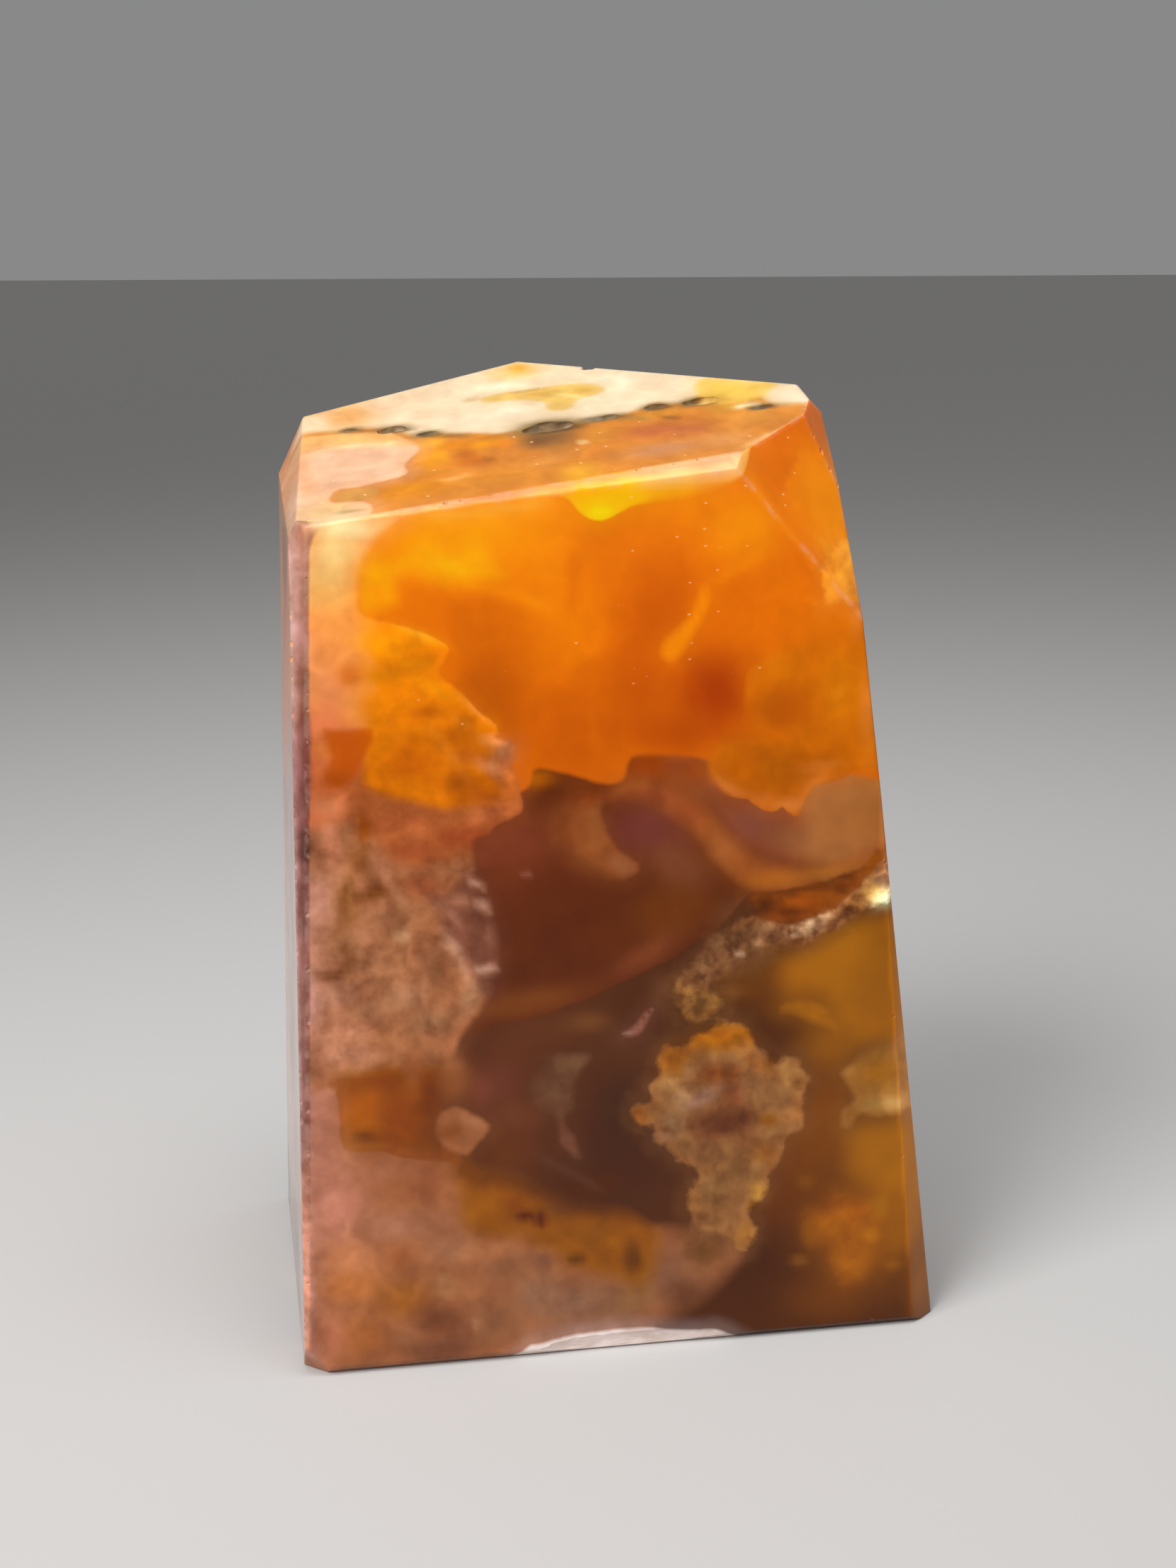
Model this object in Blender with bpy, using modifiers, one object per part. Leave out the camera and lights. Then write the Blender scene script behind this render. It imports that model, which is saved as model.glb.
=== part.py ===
"""Flower agate: a polished, free-standing block of agate, one solid piece of stone.

Metres, +Z up. X runs to the right along the front of the base and Y runs back through the stone.
The origin is the middle of the base, on the surface that the stone stands on.

The stone is made the way it was shaped: a rough block is ground flat on one side after another,
its sharp edges are eased, and the natural hollows that the grinding left are cut in at the end.
"""

from math import cos, radians, sin

import bmesh
import bpy
from mathutils import Euler, Vector, noise

MM = 0.001

# Driving dimensions in millimetres. While the stone is shaped, the foot of its front face is
# at (0, 0, 0) at the left end, and every place is measured right, back and up from there.
BASE_WIDTH = 51.4
FOOT_BEVEL = 0.7
RIDGE_LEFT = Vector((3.4, 4.7, 67.6))
RIDGE_RIGHT = Vector((34.1, 5.0, 70.9))
TOP_PEAK = Vector((20.5, 28.7, 77.6))
TOP_BACK_LEFT = Vector((2.0, 23.9, 73.6))
TOP_RIGHT = Vector((40.8, 10.6, 74.3))
TOP_RIGHT_BACK = Vector((42.0, 13.3, 75.3))
LEFT_SIDE = Vector((-1.4, 0, 0))
LEFT_BAND = Vector((1.15, 4.7, 67.2))
LEFT_FOOT = Vector((-0.6, 0.1, 1.3))
RIGHT_BAND_START = Vector((46.6, 2.6, 37.0))

# How each ground face lies, in degrees: how far it turns from the front towards the right,
# and how far it tilts up from upright.
BASE_LIE = (0, -90)
FRONT_LIE = (0, 4.0)
RIGHT_LIE = (85.0, 7.2)
LEFT_LIE = (-89.8, 1.1)
BACK_LEFT_LIE = (-163.9, 7.7)
BACK_RIGHT_LIE = (149.6, 6.0)
TOP_LIE = (-21.6, 70.7)
RIDGE_BAND_LIE = (-5.3, 43.0)
RIGHT_SHOULDER_LIE = (29.5, 26.0)
RIGHT_CORNER_LIE = (54.6, 28.6)
BACK_CORNER_LIE = (76.4, 43.6)
LEFT_SHOULDER_LIE = (-85.8, 25.1)
LEFT_BAND_LIE = (-46.0, 4.2)
RIGHT_BAND_LIE = (40.0, 5.9)
LEFT_FOOT_LIE = (-40.0, -28.0)
FOOT_BEVEL_LIE = (0, -45)

# Polishing rounds every edge that turns by more than the sharp angle.
EDGE_EASING = 0.3
SHARP_EDGE = radians(40)

# Natural pits in the seam across the top: how far right and back the middle of each is, then
# its length, width and depth.
SEAM_PITS = (
    (5.5, 19.9, 1.6, 0.8, 0.4),
    (8.8, 18.9, 2.5, 1.1, 0.6),
    (11.5, 17.2, 1.8, 0.9, 0.5),
    (21.0, 15.2, 4.3, 1.9, 1.0),
    (25.4, 15.4, 3.0, 0.9, 0.5),
    (29.9, 16.0, 1.9, 1.0, 0.5),
    (33.6, 15.8, 3.0, 1.3, 0.7),
    (38.0, 13.2, 1.8, 0.7, 0.4),
)
SEAM_TURN = -4

# The other hollows: where the middle is, the size right, back and up, and the turn in degrees.
SEAM_NOTCH = ((47.3, 2.1, 37.6), (4.4, 2.0, 2.2), (0, -14, 0))
FOOT_CHIP = ((25.2, -0.5, -0.9), (21.0, 2.0, 4.6), (0, 0, 0))
BACK_CHIP = ((26.2, 25.4, 77.3), (2.2, 1.2, 0.9), (0, 0, -29))
HOLLOW_ROUGHNESS = 0.25
LUMPS_ACROSS_HOLLOW = 5


def outward(lie):
    """The direction that a ground face looks in."""
    turn = radians(lie[0])
    tilt = radians(lie[1])
    return Vector((sin(turn) * cos(tilt), -cos(turn) * cos(tilt), sin(tilt)))


def grind(stone, lie, through):
    """Grinds one flat face through a point: all of the stone outside the face is taken away."""
    made = bmesh.ops.bisect_plane(
        stone,
        geom=stone.verts[:] + stone.edges[:] + stone.faces[:],
        dist=1e-4,
        plane_co=through,
        plane_no=outward(lie),
        clear_outer=True,
    )
    rim = [piece for piece in made["geom_cut"] if isinstance(piece, bmesh.types.BMEdge)]
    bmesh.ops.contextual_create(stone, geom=rim)


def grind_big_faces(stone):
    """The base, the front, the two sides, the two halves of the back and the sloping top."""
    grind(stone, BASE_LIE, Vector((0, 0, -FOOT_BEVEL)))
    grind(stone, FRONT_LIE, Vector((0, 0, 0)))
    grind(stone, RIGHT_LIE, Vector((BASE_WIDTH, 0, 0)))
    grind(stone, LEFT_LIE, LEFT_SIDE)
    grind(stone, BACK_LEFT_LIE, TOP_PEAK)
    grind(stone, BACK_RIGHT_LIE, TOP_PEAK)
    grind(stone, TOP_LIE, TOP_RIGHT)


def grind_shoulders(stone):
    """The small faces round the top: the narrow band on the front ridge and the cut corners."""
    grind(stone, RIDGE_BAND_LIE, RIDGE_RIGHT)
    grind(stone, RIGHT_SHOULDER_LIE, RIDGE_RIGHT)
    grind(stone, RIGHT_CORNER_LIE, TOP_RIGHT)
    grind(stone, BACK_CORNER_LIE, TOP_RIGHT_BACK)
    grind(stone, LEFT_SHOULDER_LIE, TOP_BACK_LEFT)


def grind_long_edges(stone):
    """The bands down the front's left and right edges, the low left corner and the foot."""
    grind(stone, LEFT_BAND_LIE, LEFT_BAND)
    grind(stone, RIGHT_BAND_LIE, RIGHT_BAND_START)
    grind(stone, LEFT_FOOT_LIE, LEFT_FOOT)
    grind(stone, FOOT_BEVEL_LIE, Vector((0, 0, 0)))


def shaped_block():
    """A rough block, larger than the stone on every side, ground to the stone's shape."""
    stone = bmesh.new()
    middle = Vector((BASE_WIDTH / 2, TOP_PEAK.y / 2, TOP_PEAK.z / 2))
    bmesh.ops.create_cube(stone, size=2)
    bmesh.ops.scale(stone, vec=Vector((BASE_WIDTH, BASE_WIDTH, TOP_PEAK.z)), verts=stone.verts)
    bmesh.ops.translate(stone, vec=middle, verts=stone.verts)
    grind_big_faces(stone)
    grind_shoulders(stone)
    grind_long_edges(stone)
    bmesh.ops.remove_doubles(stone, verts=stone.verts, dist=1e-3)
    bmesh.ops.recalc_face_normals(stone, faces=stone.faces)
    return stone


def middle_of_base(stone):
    """The point under the middle of the stone, level with the base."""
    right = [corner.co.x for corner in stone.verts]
    back = [corner.co.y for corner in stone.verts]
    return Vector(((min(right) + max(right)) / 2, (min(back) + max(back)) / 2, -FOOT_BEVEL))


def to_metres(shape, origin):
    """Moves a shape so that the origin point is at zero, and turns millimetres into metres."""
    bmesh.ops.translate(shape, vec=-origin, verts=shape.verts)
    bmesh.ops.scale(shape, vec=Vector((MM, MM, MM)), verts=shape.verts)


def add_object(name, shape, collection):
    mesh = bpy.data.meshes.new(name)
    shape.to_mesh(mesh)
    shape.free()
    added = bpy.data.objects.new(name, mesh)
    collection.objects.link(added)
    return added


def hollow(name, centre, size, turned, origin, collection):
    """A lumpy egg shape that cuts one natural hollow out of the stone."""
    shape = bmesh.new()
    bmesh.ops.create_icosphere(shape, subdivisions=3, radius=0.5)
    for point in shape.verts:
        lump = noise.noise(point.co * LUMPS_ACROSS_HOLLOW + Vector(centre))
        point.co *= 1 + HOLLOW_ROUGHNESS * lump
    turn = Euler([radians(angle) for angle in turned]).to_matrix()
    bmesh.ops.scale(shape, vec=Vector(size), verts=shape.verts)
    bmesh.ops.rotate(shape, matrix=turn, verts=shape.verts)
    bmesh.ops.translate(shape, vec=Vector(centre), verts=shape.verts)
    to_metres(shape, origin)
    cutter = add_object(name, shape, collection)
    cutter.hide_render = True
    cutter.display_type = "WIRE"
    return cutter


def height_of_top(right, back):
    """Height of the sloping top above the foot of the front face, at one place on it."""
    slope = outward(TOP_LIE)
    rise = slope.x * (right - TOP_RIGHT.x) + slope.y * (back - TOP_RIGHT.y)
    return TOP_RIGHT.z - rise / slope.z


def seam_pits(origin, collection):
    """The row of pits where a natural seam comes out on the top, each lying along its slope."""
    turned = (90 - TOP_LIE[1], 0, SEAM_TURN)
    pits = []
    for number, (right, back, length, width, depth) in enumerate(SEAM_PITS, start=1):
        centre = (right, back, height_of_top(right, back))
        size = (length, width, 2 * depth)
        pits.append(hollow("seam_pit_%d" % number, centre, size, turned, origin, collection))
    return pits


def edge_hollows(origin, collection):
    """The notch where a crystal seam meets the right edge, and chips at the foot and the back."""
    return [
        hollow("seam_notch", *SEAM_NOTCH, origin, collection),
        hollow("foot_chip", *FOOT_CHIP, origin, collection),
        hollow("back_chip", *BACK_CHIP, origin, collection),
    ]


def polished_agate():
    material = bpy.data.materials.new("polished_agate")
    material.use_nodes = True
    shader = material.node_tree.nodes["Principled BSDF"]
    shader.inputs["Base Color"].default_value = (0.52, 0.19, 0.05, 1)
    shader.inputs["Roughness"].default_value = 0.12
    shader.inputs["Metallic"].default_value = 0
    return material


def ease_edges(stone):
    """A small rounding on every sharp edge, as polishing leaves it."""
    easing = stone.modifiers.new("eased edges", "BEVEL")
    easing.width = EDGE_EASING * MM
    easing.segments = 2
    easing.limit_method = "ANGLE"
    easing.angle_limit = SHARP_EDGE


def cut_hollows(stone, cutters):
    for cutter in cutters:
        cut = stone.modifiers.new(cutter.name, "BOOLEAN")
        cut.operation = "DIFFERENCE"
        cut.solver = "EXACT"
        cut.object = cutter


def new_collection(name):
    made = bpy.data.collections.new(name)
    bpy.context.scene.collection.children.link(made)
    return made


def main():
    for old in list(bpy.data.objects):
        bpy.data.objects.remove(old)
    shape = shaped_block()
    origin = middle_of_base(shape)
    to_metres(shape, origin)
    stone = add_object("flower_agate", shape, new_collection("flower agate"))
    stone.data.materials.append(polished_agate())
    ease_edges(stone)
    helpers = new_collection("cutters")
    cut_hollows(stone, seam_pits(origin, helpers) + edge_hollows(origin, helpers))


main()
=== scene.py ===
# %% [markdown]
# # A polished flower agate
# This lesson makes one stone: a block of flower agate, ground flat on many sides and polished.
# We grind the block, ease and chip its edges, cut its surface into small cells, and then mark on
# every point of the surface what grew there: orange glow, brown glass, pale plumes, a crystal
# seam. A node material turns those marks into polished stone.

# %% Load the frame
import random
from math import cos, degrees, pi, radians, sin

import bpy
import numpy as np
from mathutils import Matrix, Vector, noise


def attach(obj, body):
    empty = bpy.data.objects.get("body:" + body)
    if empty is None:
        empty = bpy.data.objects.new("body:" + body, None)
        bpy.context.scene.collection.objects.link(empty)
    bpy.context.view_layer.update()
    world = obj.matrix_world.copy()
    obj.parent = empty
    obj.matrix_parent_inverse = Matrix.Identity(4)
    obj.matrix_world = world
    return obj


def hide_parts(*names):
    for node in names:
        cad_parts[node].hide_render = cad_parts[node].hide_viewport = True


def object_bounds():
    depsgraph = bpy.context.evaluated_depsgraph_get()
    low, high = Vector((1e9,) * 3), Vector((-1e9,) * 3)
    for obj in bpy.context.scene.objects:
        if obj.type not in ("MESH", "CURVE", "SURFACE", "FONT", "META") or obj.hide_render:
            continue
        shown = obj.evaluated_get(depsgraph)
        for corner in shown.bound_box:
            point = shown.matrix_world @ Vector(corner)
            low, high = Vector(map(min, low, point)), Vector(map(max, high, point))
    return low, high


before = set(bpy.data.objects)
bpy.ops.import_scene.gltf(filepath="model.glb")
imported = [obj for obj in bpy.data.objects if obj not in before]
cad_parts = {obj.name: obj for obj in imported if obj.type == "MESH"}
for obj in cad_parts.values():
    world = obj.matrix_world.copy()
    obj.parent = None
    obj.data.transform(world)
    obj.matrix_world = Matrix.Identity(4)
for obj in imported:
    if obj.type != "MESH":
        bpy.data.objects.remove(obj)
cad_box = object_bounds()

MM = 0.001
print("the stone's box in mm:", [[round(side / MM, 1) for side in corner] for corner in cad_box])

# %% [markdown]
# ## Measuring on the stone
# Everything is measured in millimetres on the stone, from the left end of the front face's
# foot: X to the right, Y back, Z up. Each ground face is given by a point that it passes through
# and by how it lies: how far it turns from the front towards the right, and how far it tilts up
# from upright. These are the frame's own values, because the stone has to be the same size.

# %% The ground faces
FRONT_FOOT = Vector((-25.814, -19.616, 0.7))
BASE_WIDTH = 51.4
FOOT_BEVEL = 0.7
FOOT = (0, 0, 0)
RIDGE_RIGHT = (34.1, 5.0, 70.9)
TOP_PEAK = (20.5, 28.7, 77.6)
TOP_BACK_LEFT = (2.0, 23.9, 73.6)
TOP_RIGHT = (40.8, 10.6, 74.3)
TOP_RIGHT_BACK = (42.0, 13.3, 75.3)
GROUND_FACES = {
    "base": ((0, -90), (0, 0, -FOOT_BEVEL)),
    "front": ((0, 4.0), FOOT),
    "right": ((85.0, 7.2), (BASE_WIDTH, 0, 0)),
    "left": ((-89.8, 1.1), (-1.4, 0, 0)),
    "back left": ((-163.9, 7.7), TOP_PEAK),
    "back right": ((149.6, 6.0), TOP_PEAK),
    "top": ((-21.6, 70.7), TOP_RIGHT),
    "ridge band": ((-5.3, 43.0), RIDGE_RIGHT),
    "right shoulder": ((29.5, 26.0), RIDGE_RIGHT),
    "right corner": ((54.6, 28.6), TOP_RIGHT),
    "back corner": ((76.4, 43.6), TOP_RIGHT_BACK),
    "left shoulder": ((-85.8, 25.1), TOP_BACK_LEFT),
    "left band": ((-46.0, 4.2), (1.15, 4.7, 67.2)),
    "right band": ((40.0, 5.9), (46.6, 2.6, 37.0)),
    "left foot": ((-40.0, -28.0), (-0.6, 0.1, 1.3)),
    "foot bevel": ((0, -45), FOOT),
}


def outward(lie):
    """The direction that a ground face looks in."""
    turn, tilt = radians(lie[0]), radians(lie[1])
    return Vector((sin(turn) * cos(tilt), -cos(turn) * cos(tilt), sin(tilt)))


def in_frame(spot):
    """A place measured on the stone, in millimetres, as a place in the frame."""
    return (Vector(spot) + FRONT_FOOT) * MM


def on_stone(spot):
    """A place in the frame, as a place measured on the stone in millimetres."""
    return Vector(spot) / MM - FRONT_FOOT


# %% [markdown]
# ## Grinding the block
# A stone cutter grinds one flat after another on a rough lump. Bisect does the same here: it
# cuts the mesh along a plane, clears what is outside, and fills the cut. A box with its corners
# moved could not give sixteen odd faces so exactly.

# %% A rough block, ground on every side
BLOCK_SIDE = 110 * MM
BLOCK_MIDDLE = (0, 0, 40 * MM)
CUT_TOLERANCE = 1e-7
SAME_CORNER = 0.01 * MM


def deselect_all():
    for other in bpy.context.selected_objects:
        other.select_set(False)


def work_on(piece):
    """Selects one object alone, as a click on it would."""
    deselect_all()
    piece.select_set(True)
    bpy.context.view_layer.objects.active = piece


def grind(name):
    """Cuts along one ground face, clears what is outside it and closes the cut."""
    lie, through = GROUND_FACES[name]
    bpy.ops.mesh.select_all(action="SELECT")
    bpy.ops.mesh.bisect(plane_co=in_frame(through), plane_no=outward(lie), use_fill=True,
                        clear_outer=True, threshold=CUT_TOLERANCE)


deselect_all()
bpy.ops.mesh.primitive_cube_add(size=BLOCK_SIDE, location=BLOCK_MIDDLE)
stone = bpy.context.active_object
stone.name = "polished_stone"
bpy.ops.object.transform_apply(location=True, rotation=True, scale=True)
bpy.ops.object.mode_set(mode="EDIT")
for name in GROUND_FACES:
    grind(name)
bpy.ops.mesh.select_all(action="SELECT")
bpy.ops.mesh.remove_doubles(threshold=SAME_CORNER)
bpy.ops.mesh.normals_make_consistent(inside=False)
bpy.ops.object.mode_set(mode="OBJECT")
print("ground to", len(stone.data.polygons), "faces")

# %% Note where the edges run, for the wear on them
def edge_lines():
    """Both ends of every edge of the stone, in millimetres."""
    corners = stone.data.vertices
    return [(on_stone(corners[a].co), on_stone(corners[b].co))
            for a, b in (edge.vertices for edge in stone.data.edges)]


EDGES = edge_lines()
print(len(EDGES), "edges, the longest", round(max((a - b).length for a, b in EDGES), 1), "mm")

# %% [markdown]
# ## Easing the edges
# Polishing rounds each edge a little. The sharp ones get a wider rounding than the blunt ones,
# so they are found by their angle. The blunt ones are marked as seams first, because the bevel
# on the sharp ones makes new blunt edges beside them.

# %% Ease the sharp edges, then the blunt ones
SHARP, BLUNT = radians(40), radians(6)
EASING, SLIGHT_EASING = 0.3 * MM, 0.12 * MM


def bevel_selected(width, steps):
    """Rounds the selected edges."""
    bpy.ops.mesh.bevel(offset=width, segments=steps, affect="EDGES", clamp_overlap=True)


bpy.ops.object.mode_set(mode="EDIT")
bpy.ops.mesh.select_mode(type="EDGE")
bpy.ops.mesh.select_all(action="DESELECT")
bpy.ops.mesh.edges_select_sharp(sharpness=BLUNT)
bpy.ops.mesh.mark_seam(clear=False)
bpy.ops.mesh.select_all(action="DESELECT")
bpy.ops.mesh.edges_select_sharp(sharpness=SHARP)
bpy.ops.mesh.mark_seam(clear=True)
bevel_selected(EASING, 3)
bpy.ops.mesh.select_all(action="DESELECT")
bpy.ops.object.mode_set(mode="OBJECT")
for edge in stone.data.edges:
    edge.select = edge.use_seam
bpy.ops.object.mode_set(mode="EDIT")
bevel_selected(SLIGHT_EASING, 2)
bpy.ops.mesh.select_all(action="SELECT")
bpy.ops.mesh.mark_seam(clear=True)
bpy.ops.object.mode_set(mode="OBJECT")
print("eased to", len(stone.data.polygons), "faces")

# %% [markdown]
# ## Hollows and chips
# Grinding leaves the natural pits of a seam open, and handling knocks small shell-shaped chips
# out of the edges. Each is the bite of a lumpy ball, so all the balls are made as one cutter and
# taken away with one Boolean. The cutter has a material of its own, and a Boolean keeps it on
# the faces that it makes, so the bites come out with a rough, broken finish.

# %% Two finishes
polished = bpy.data.materials.new("polished_face")
broken = bpy.data.materials.new("broken_face")
for finish in (polished, broken):
    finish.use_nodes = True
    stone.data.materials.append(finish)
BROKEN = 1
print("finishes:", [finish.name for finish in stone.data.materials])

# %% The natural hollows, as places, sizes and turns
SEAM_PITS = (
    (5.5, 19.9, 1.6, 0.8, 0.4),
    (8.8, 18.9, 2.5, 1.1, 0.6),
    (11.5, 17.2, 1.8, 0.9, 0.5),
    (21.0, 15.2, 4.3, 1.9, 1.0),
    (25.4, 15.4, 3.0, 0.9, 0.5),
    (29.9, 16.0, 1.9, 1.0, 0.5),
    (33.6, 15.8, 3.0, 1.3, 0.7),
    (38.0, 13.2, 1.8, 0.7, 0.4),
)
SEAM_NOTCH = ((47.3, 2.1, 37.6), (4.4, 2.0, 2.2), (0, -14, 0))
FOOT_CHIP = ((25.2, -0.5, -0.9), (21.0, 2.0, 4.6), (0, 0, 0))
BACK_CHIP = ((26.2, 25.4, 77.3), (2.2, 1.2, 0.9), (0, 0, -29))
TOP_LIE = GROUND_FACES["top"][0]
PIT_TURN = (90 - TOP_LIE[1], 0, -4)


def height_of_top(right, back):
    """Height of the sloping top at one place on it."""
    slope = outward(TOP_LIE)
    rise = slope.x * (right - TOP_RIGHT[0]) + slope.y * (back - TOP_RIGHT[1])
    return TOP_RIGHT[2] - rise / slope.z


pits = []
for right, back, length, width, depth in SEAM_PITS:
    centre = (right, back, height_of_top(right, back))
    pits.append((centre, (length, width, 2 * depth), PIT_TURN))
hollows = [SEAM_NOTCH, FOOT_CHIP, BACK_CHIP] + pits
print(len(hollows), "natural hollows")

# %% Where the edges are chipped: between which faces, how many chips, and how small and large
CHIPPED = {
    "left side": (("left", "left band"), 46, (0.25, 0.85)),
    "left front edge": (("left band", "front"), 30, (0.2, 0.6)),
    "ridge": (("top", "ridge band"), 14, (0.2, 0.5)),
    "right front edge": (("front", "right band"), 4, (0.2, 0.35)),
    "upper right edge": (("right corner", "right shoulder"), 9, (0.25, 0.7)),
    "right side": (("right", "right band"), 9, (0.2, 0.4)),
    "back ridge": (("back left", "back right"), 10, (0.3, 0.9)),
    "back left edge": (("left", "back left"), 14, (0.3, 0.9)),
    "back right edge": (("right", "back right"), 12, (0.3, 0.8)),
    "top back edge": (("top", "back right"), 8, (0.3, 0.7)),
    "top back left edge": (("top", "back left"), 7, (0.3, 0.7)),
    "foot": (("front", "foot bevel"), 9, (0.2, 0.6)),
}
print(sum(count for _, count, _ in CHIPPED.values()), "chips on", len(CHIPPED), "edges")

# %% Find each edge between its two faces, and spread chips along it by chance
def lies_on(spot, name):
    """Whether a corner of the ground block is on one of its faces, to 0.03 mm."""
    lie, through = GROUND_FACES[name]
    return abs((spot - Vector(through)).dot(outward(lie))) < 0.03


def shared_edge(first, second):
    """The two ends of the edge between two ground faces: both faces pass through them."""
    for start, end in EDGES:
        if all(lies_on(spot, name) for spot in (start, end) for name in (first, second)):
            return start, end
    return None


def chips_along(faces, count, sizes, chance):
    """Bites spread by chance along one edge, each a flat ball that only just reaches in."""
    ends = shared_edge(*faces)
    if ends is None:
        print("no edge between", faces)
        return []
    out = (outward(GROUND_FACES[faces[0]][0]) + outward(GROUND_FACES[faces[1]][0])).normalized()
    bites = []
    for number in range(count):
        along = (number + chance.uniform(0.15, 0.85)) / count
        size = chance.uniform(*sizes) * chance.uniform(0.6, 1)
        centre = ends[0].lerp(ends[1], along) + out * size * chance.uniform(0.12, 0.42)
        sides = (size * chance.uniform(0.8, 1.6), size, size * chance.uniform(0.8, 1.8))
        bites.append((centre, sides, (chance.uniform(0, 40), chance.uniform(0, 40), 0)))
    return bites


chance = random.Random(11)
chips = []
for faces, count, sizes in CHIPPED.values():
    chips += chips_along(faces, count, sizes, chance)
print(len(chips), "chips, the largest", round(max(max(sides) for _, sides, _ in chips), 2), "mm")

# %% Leave out the chips that would touch another bite
LONG_HOLLOW = 3


def stands_clear(bite, others):
    """Whether a bite touches none of the others: balls that overlap would confuse the Boolean."""
    reach = max(bite[1]) * 0.55 + 0.1
    for centre, sides, _ in others:
        gap = Vector(bite[0]) - Vector(centre)
        room = [side * 0.62 + reach for side in sides]
        if max(sides) > LONG_HOLLOW:
            if all(abs(step) < clear for step, clear in zip(gap, room)):
                return False
        elif gap.length < max(room):
            return False
    return True


apart = []
for bite in chips:
    if stands_clear(bite, hollows + apart):
        apart.append(bite)
print(len(apart), "chips stand clear, of", len(chips))

# %% Make the balls
SHIFTS = (Vector((0, 0, 0)), Vector((31, 0, 0)), Vector((0, 57, 0)))
FINE_LUMPS = (1.6, 0.12)
COARSE_LUMPS = (0.8, 0.28)


def add_ball(centre, sides, turned, steps):
    """One lumpy ball, added in edit mode to the cutter's mesh, then sized and turned."""
    bpy.ops.mesh.select_all(action="DESELECT")
    bpy.ops.mesh.primitive_ico_sphere_add(subdivisions=steps, radius=0.5 * MM,
                                          location=in_frame(centre))
    middle = in_frame(centre)
    bpy.ops.transform.resize(value=sides, center_override=middle)
    for axis, angle in zip("XYZ", turned):
        bpy.ops.transform.rotate(value=radians(angle), orient_axis=axis, center_override=middle)


def lump(spot, scale, height):
    """How far noise pushes one point of a ball: some lumps to the millimetre, so high."""
    return Vector([noise.noise(spot * scale + shift) for shift in SHIFTS]) * height


deselect_all()
bpy.ops.mesh.primitive_ico_sphere_add(subdivisions=1, radius=MM)
cutter = bpy.context.active_object
cutter.name = "bites"
bpy.ops.object.transform_apply(location=True, rotation=True, scale=True)
bpy.ops.object.mode_set(mode="EDIT")
bpy.ops.mesh.delete(type="VERT")
for centre, sides, turned in hollows:
    add_ball(centre, sides, turned, 5 if max(sides) > 10 else 4)
for centre, sides, turned in apart:
    add_ball(centre, sides, turned, 2)
bpy.ops.object.mode_set(mode="OBJECT")
for corner in cutter.data.vertices:
    spot = on_stone(corner.co)
    push = lump(spot, *FINE_LUMPS)
    if any((spot - Vector(centre)).length < sides[0] for centre, sides, _ in pits):
        push += lump(spot, *COARSE_LUMPS)
    corner.co += push * MM
for finish in (polished, broken):
    cutter.data.materials.append(finish)
for polygon in cutter.data.polygons:
    polygon.material_index = BROKEN
cutter.data.update()
print("the cutter has", len(cutter.data.vertices), "points")

# %% Take the bites out of the stone
work_on(stone)
bite = stone.modifiers.new("bites", "BOOLEAN")
bite.object = cutter
bite.operation = "DIFFERENCE"
bite.solver = "EXACT"
bite.material_mode = "INDEX"
bpy.ops.object.modifier_apply(modifier=bite.name)
bpy.data.objects.remove(cutter)
print("with its hollows the stone has", len(stone.data.polygons), "faces, finishes:",
      [finish.name for finish in stone.data.materials])

# %% [markdown]
# ## A fine surface to paint on
# The pattern will be painted point by point, and these faces are far too large for that. Bisect
# without clearing cuts every face along a plane and leaves the shape as it is, so a cut every
# 0.46 mm along each axis turns the surface into small cells.

# %% Cut the surface into cells
CELL = 0.46 * MM
SLICE_TOLERANCE = 1e-8
SAME_POINT = 0.004 * MM


def slice_surface(axis, low, high):
    """Cuts the surface across one axis, a cell apart."""
    count = int((high - low) / CELL)
    for number in range(1, count):
        bpy.ops.mesh.select_all(action="SELECT")
        bpy.ops.mesh.bisect(plane_co=axis * (low + number * (high - low) / count), plane_no=axis,
                            threshold=SLICE_TOLERANCE)


work_on(stone)
bpy.ops.object.mode_set(mode="EDIT")
for axis, low, high in zip(((1, 0, 0), (0, 1, 0), (0, 0, 1)), *cad_box):
    slice_surface(Vector(axis), low, high)
bpy.ops.mesh.select_all(action="SELECT")
bpy.ops.mesh.remove_doubles(threshold=SAME_POINT)
bpy.ops.mesh.delete_loose()
bpy.ops.object.mode_set(mode="OBJECT")
print("cut into", len(stone.data.polygons), "cells")

# %% Smooth the rounded edges, and keep the rims of the hollows sharp
work_on(stone)
bpy.ops.object.shade_smooth_by_angle(angle=radians(35))
bpy.ops.object.mode_set(mode="EDIT")
bpy.ops.mesh.select_mode(type="FACE")
bpy.ops.mesh.select_all(action="DESELECT")
stone.active_material_index = BROKEN
bpy.ops.object.material_slot_select()
bpy.ops.mesh.region_to_loop()
bpy.ops.mesh.mark_sharp()
bpy.ops.object.mode_set(mode="OBJECT")
even = stone.modifiers.new("even shading", "WEIGHTED_NORMAL")
even.keep_sharp = True
even.weight = 80
bpy.ops.object.modifier_apply(modifier=even.name)
broken_cells = sum(polygon.material_index == BROKEN for polygon in stone.data.polygons)
print(broken_cells, "cells are broken ones")

# %% [markdown]
# ## Marking out what grew in the stone
# A flower agate is chalcedony that filled a hollow in layers: glassy brown and orange stone, with
# pale mineral plumes that grew into it like moss, and a seam of crystals where the last water
# was. No pattern node draws those by itself, so we mark them out, as on a drawing laid over each
# ground face. Every mark is a smooth outline in millimetres, and it reaches some way into the
# stone, so that it wraps round the edges as the real growth does.

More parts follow.
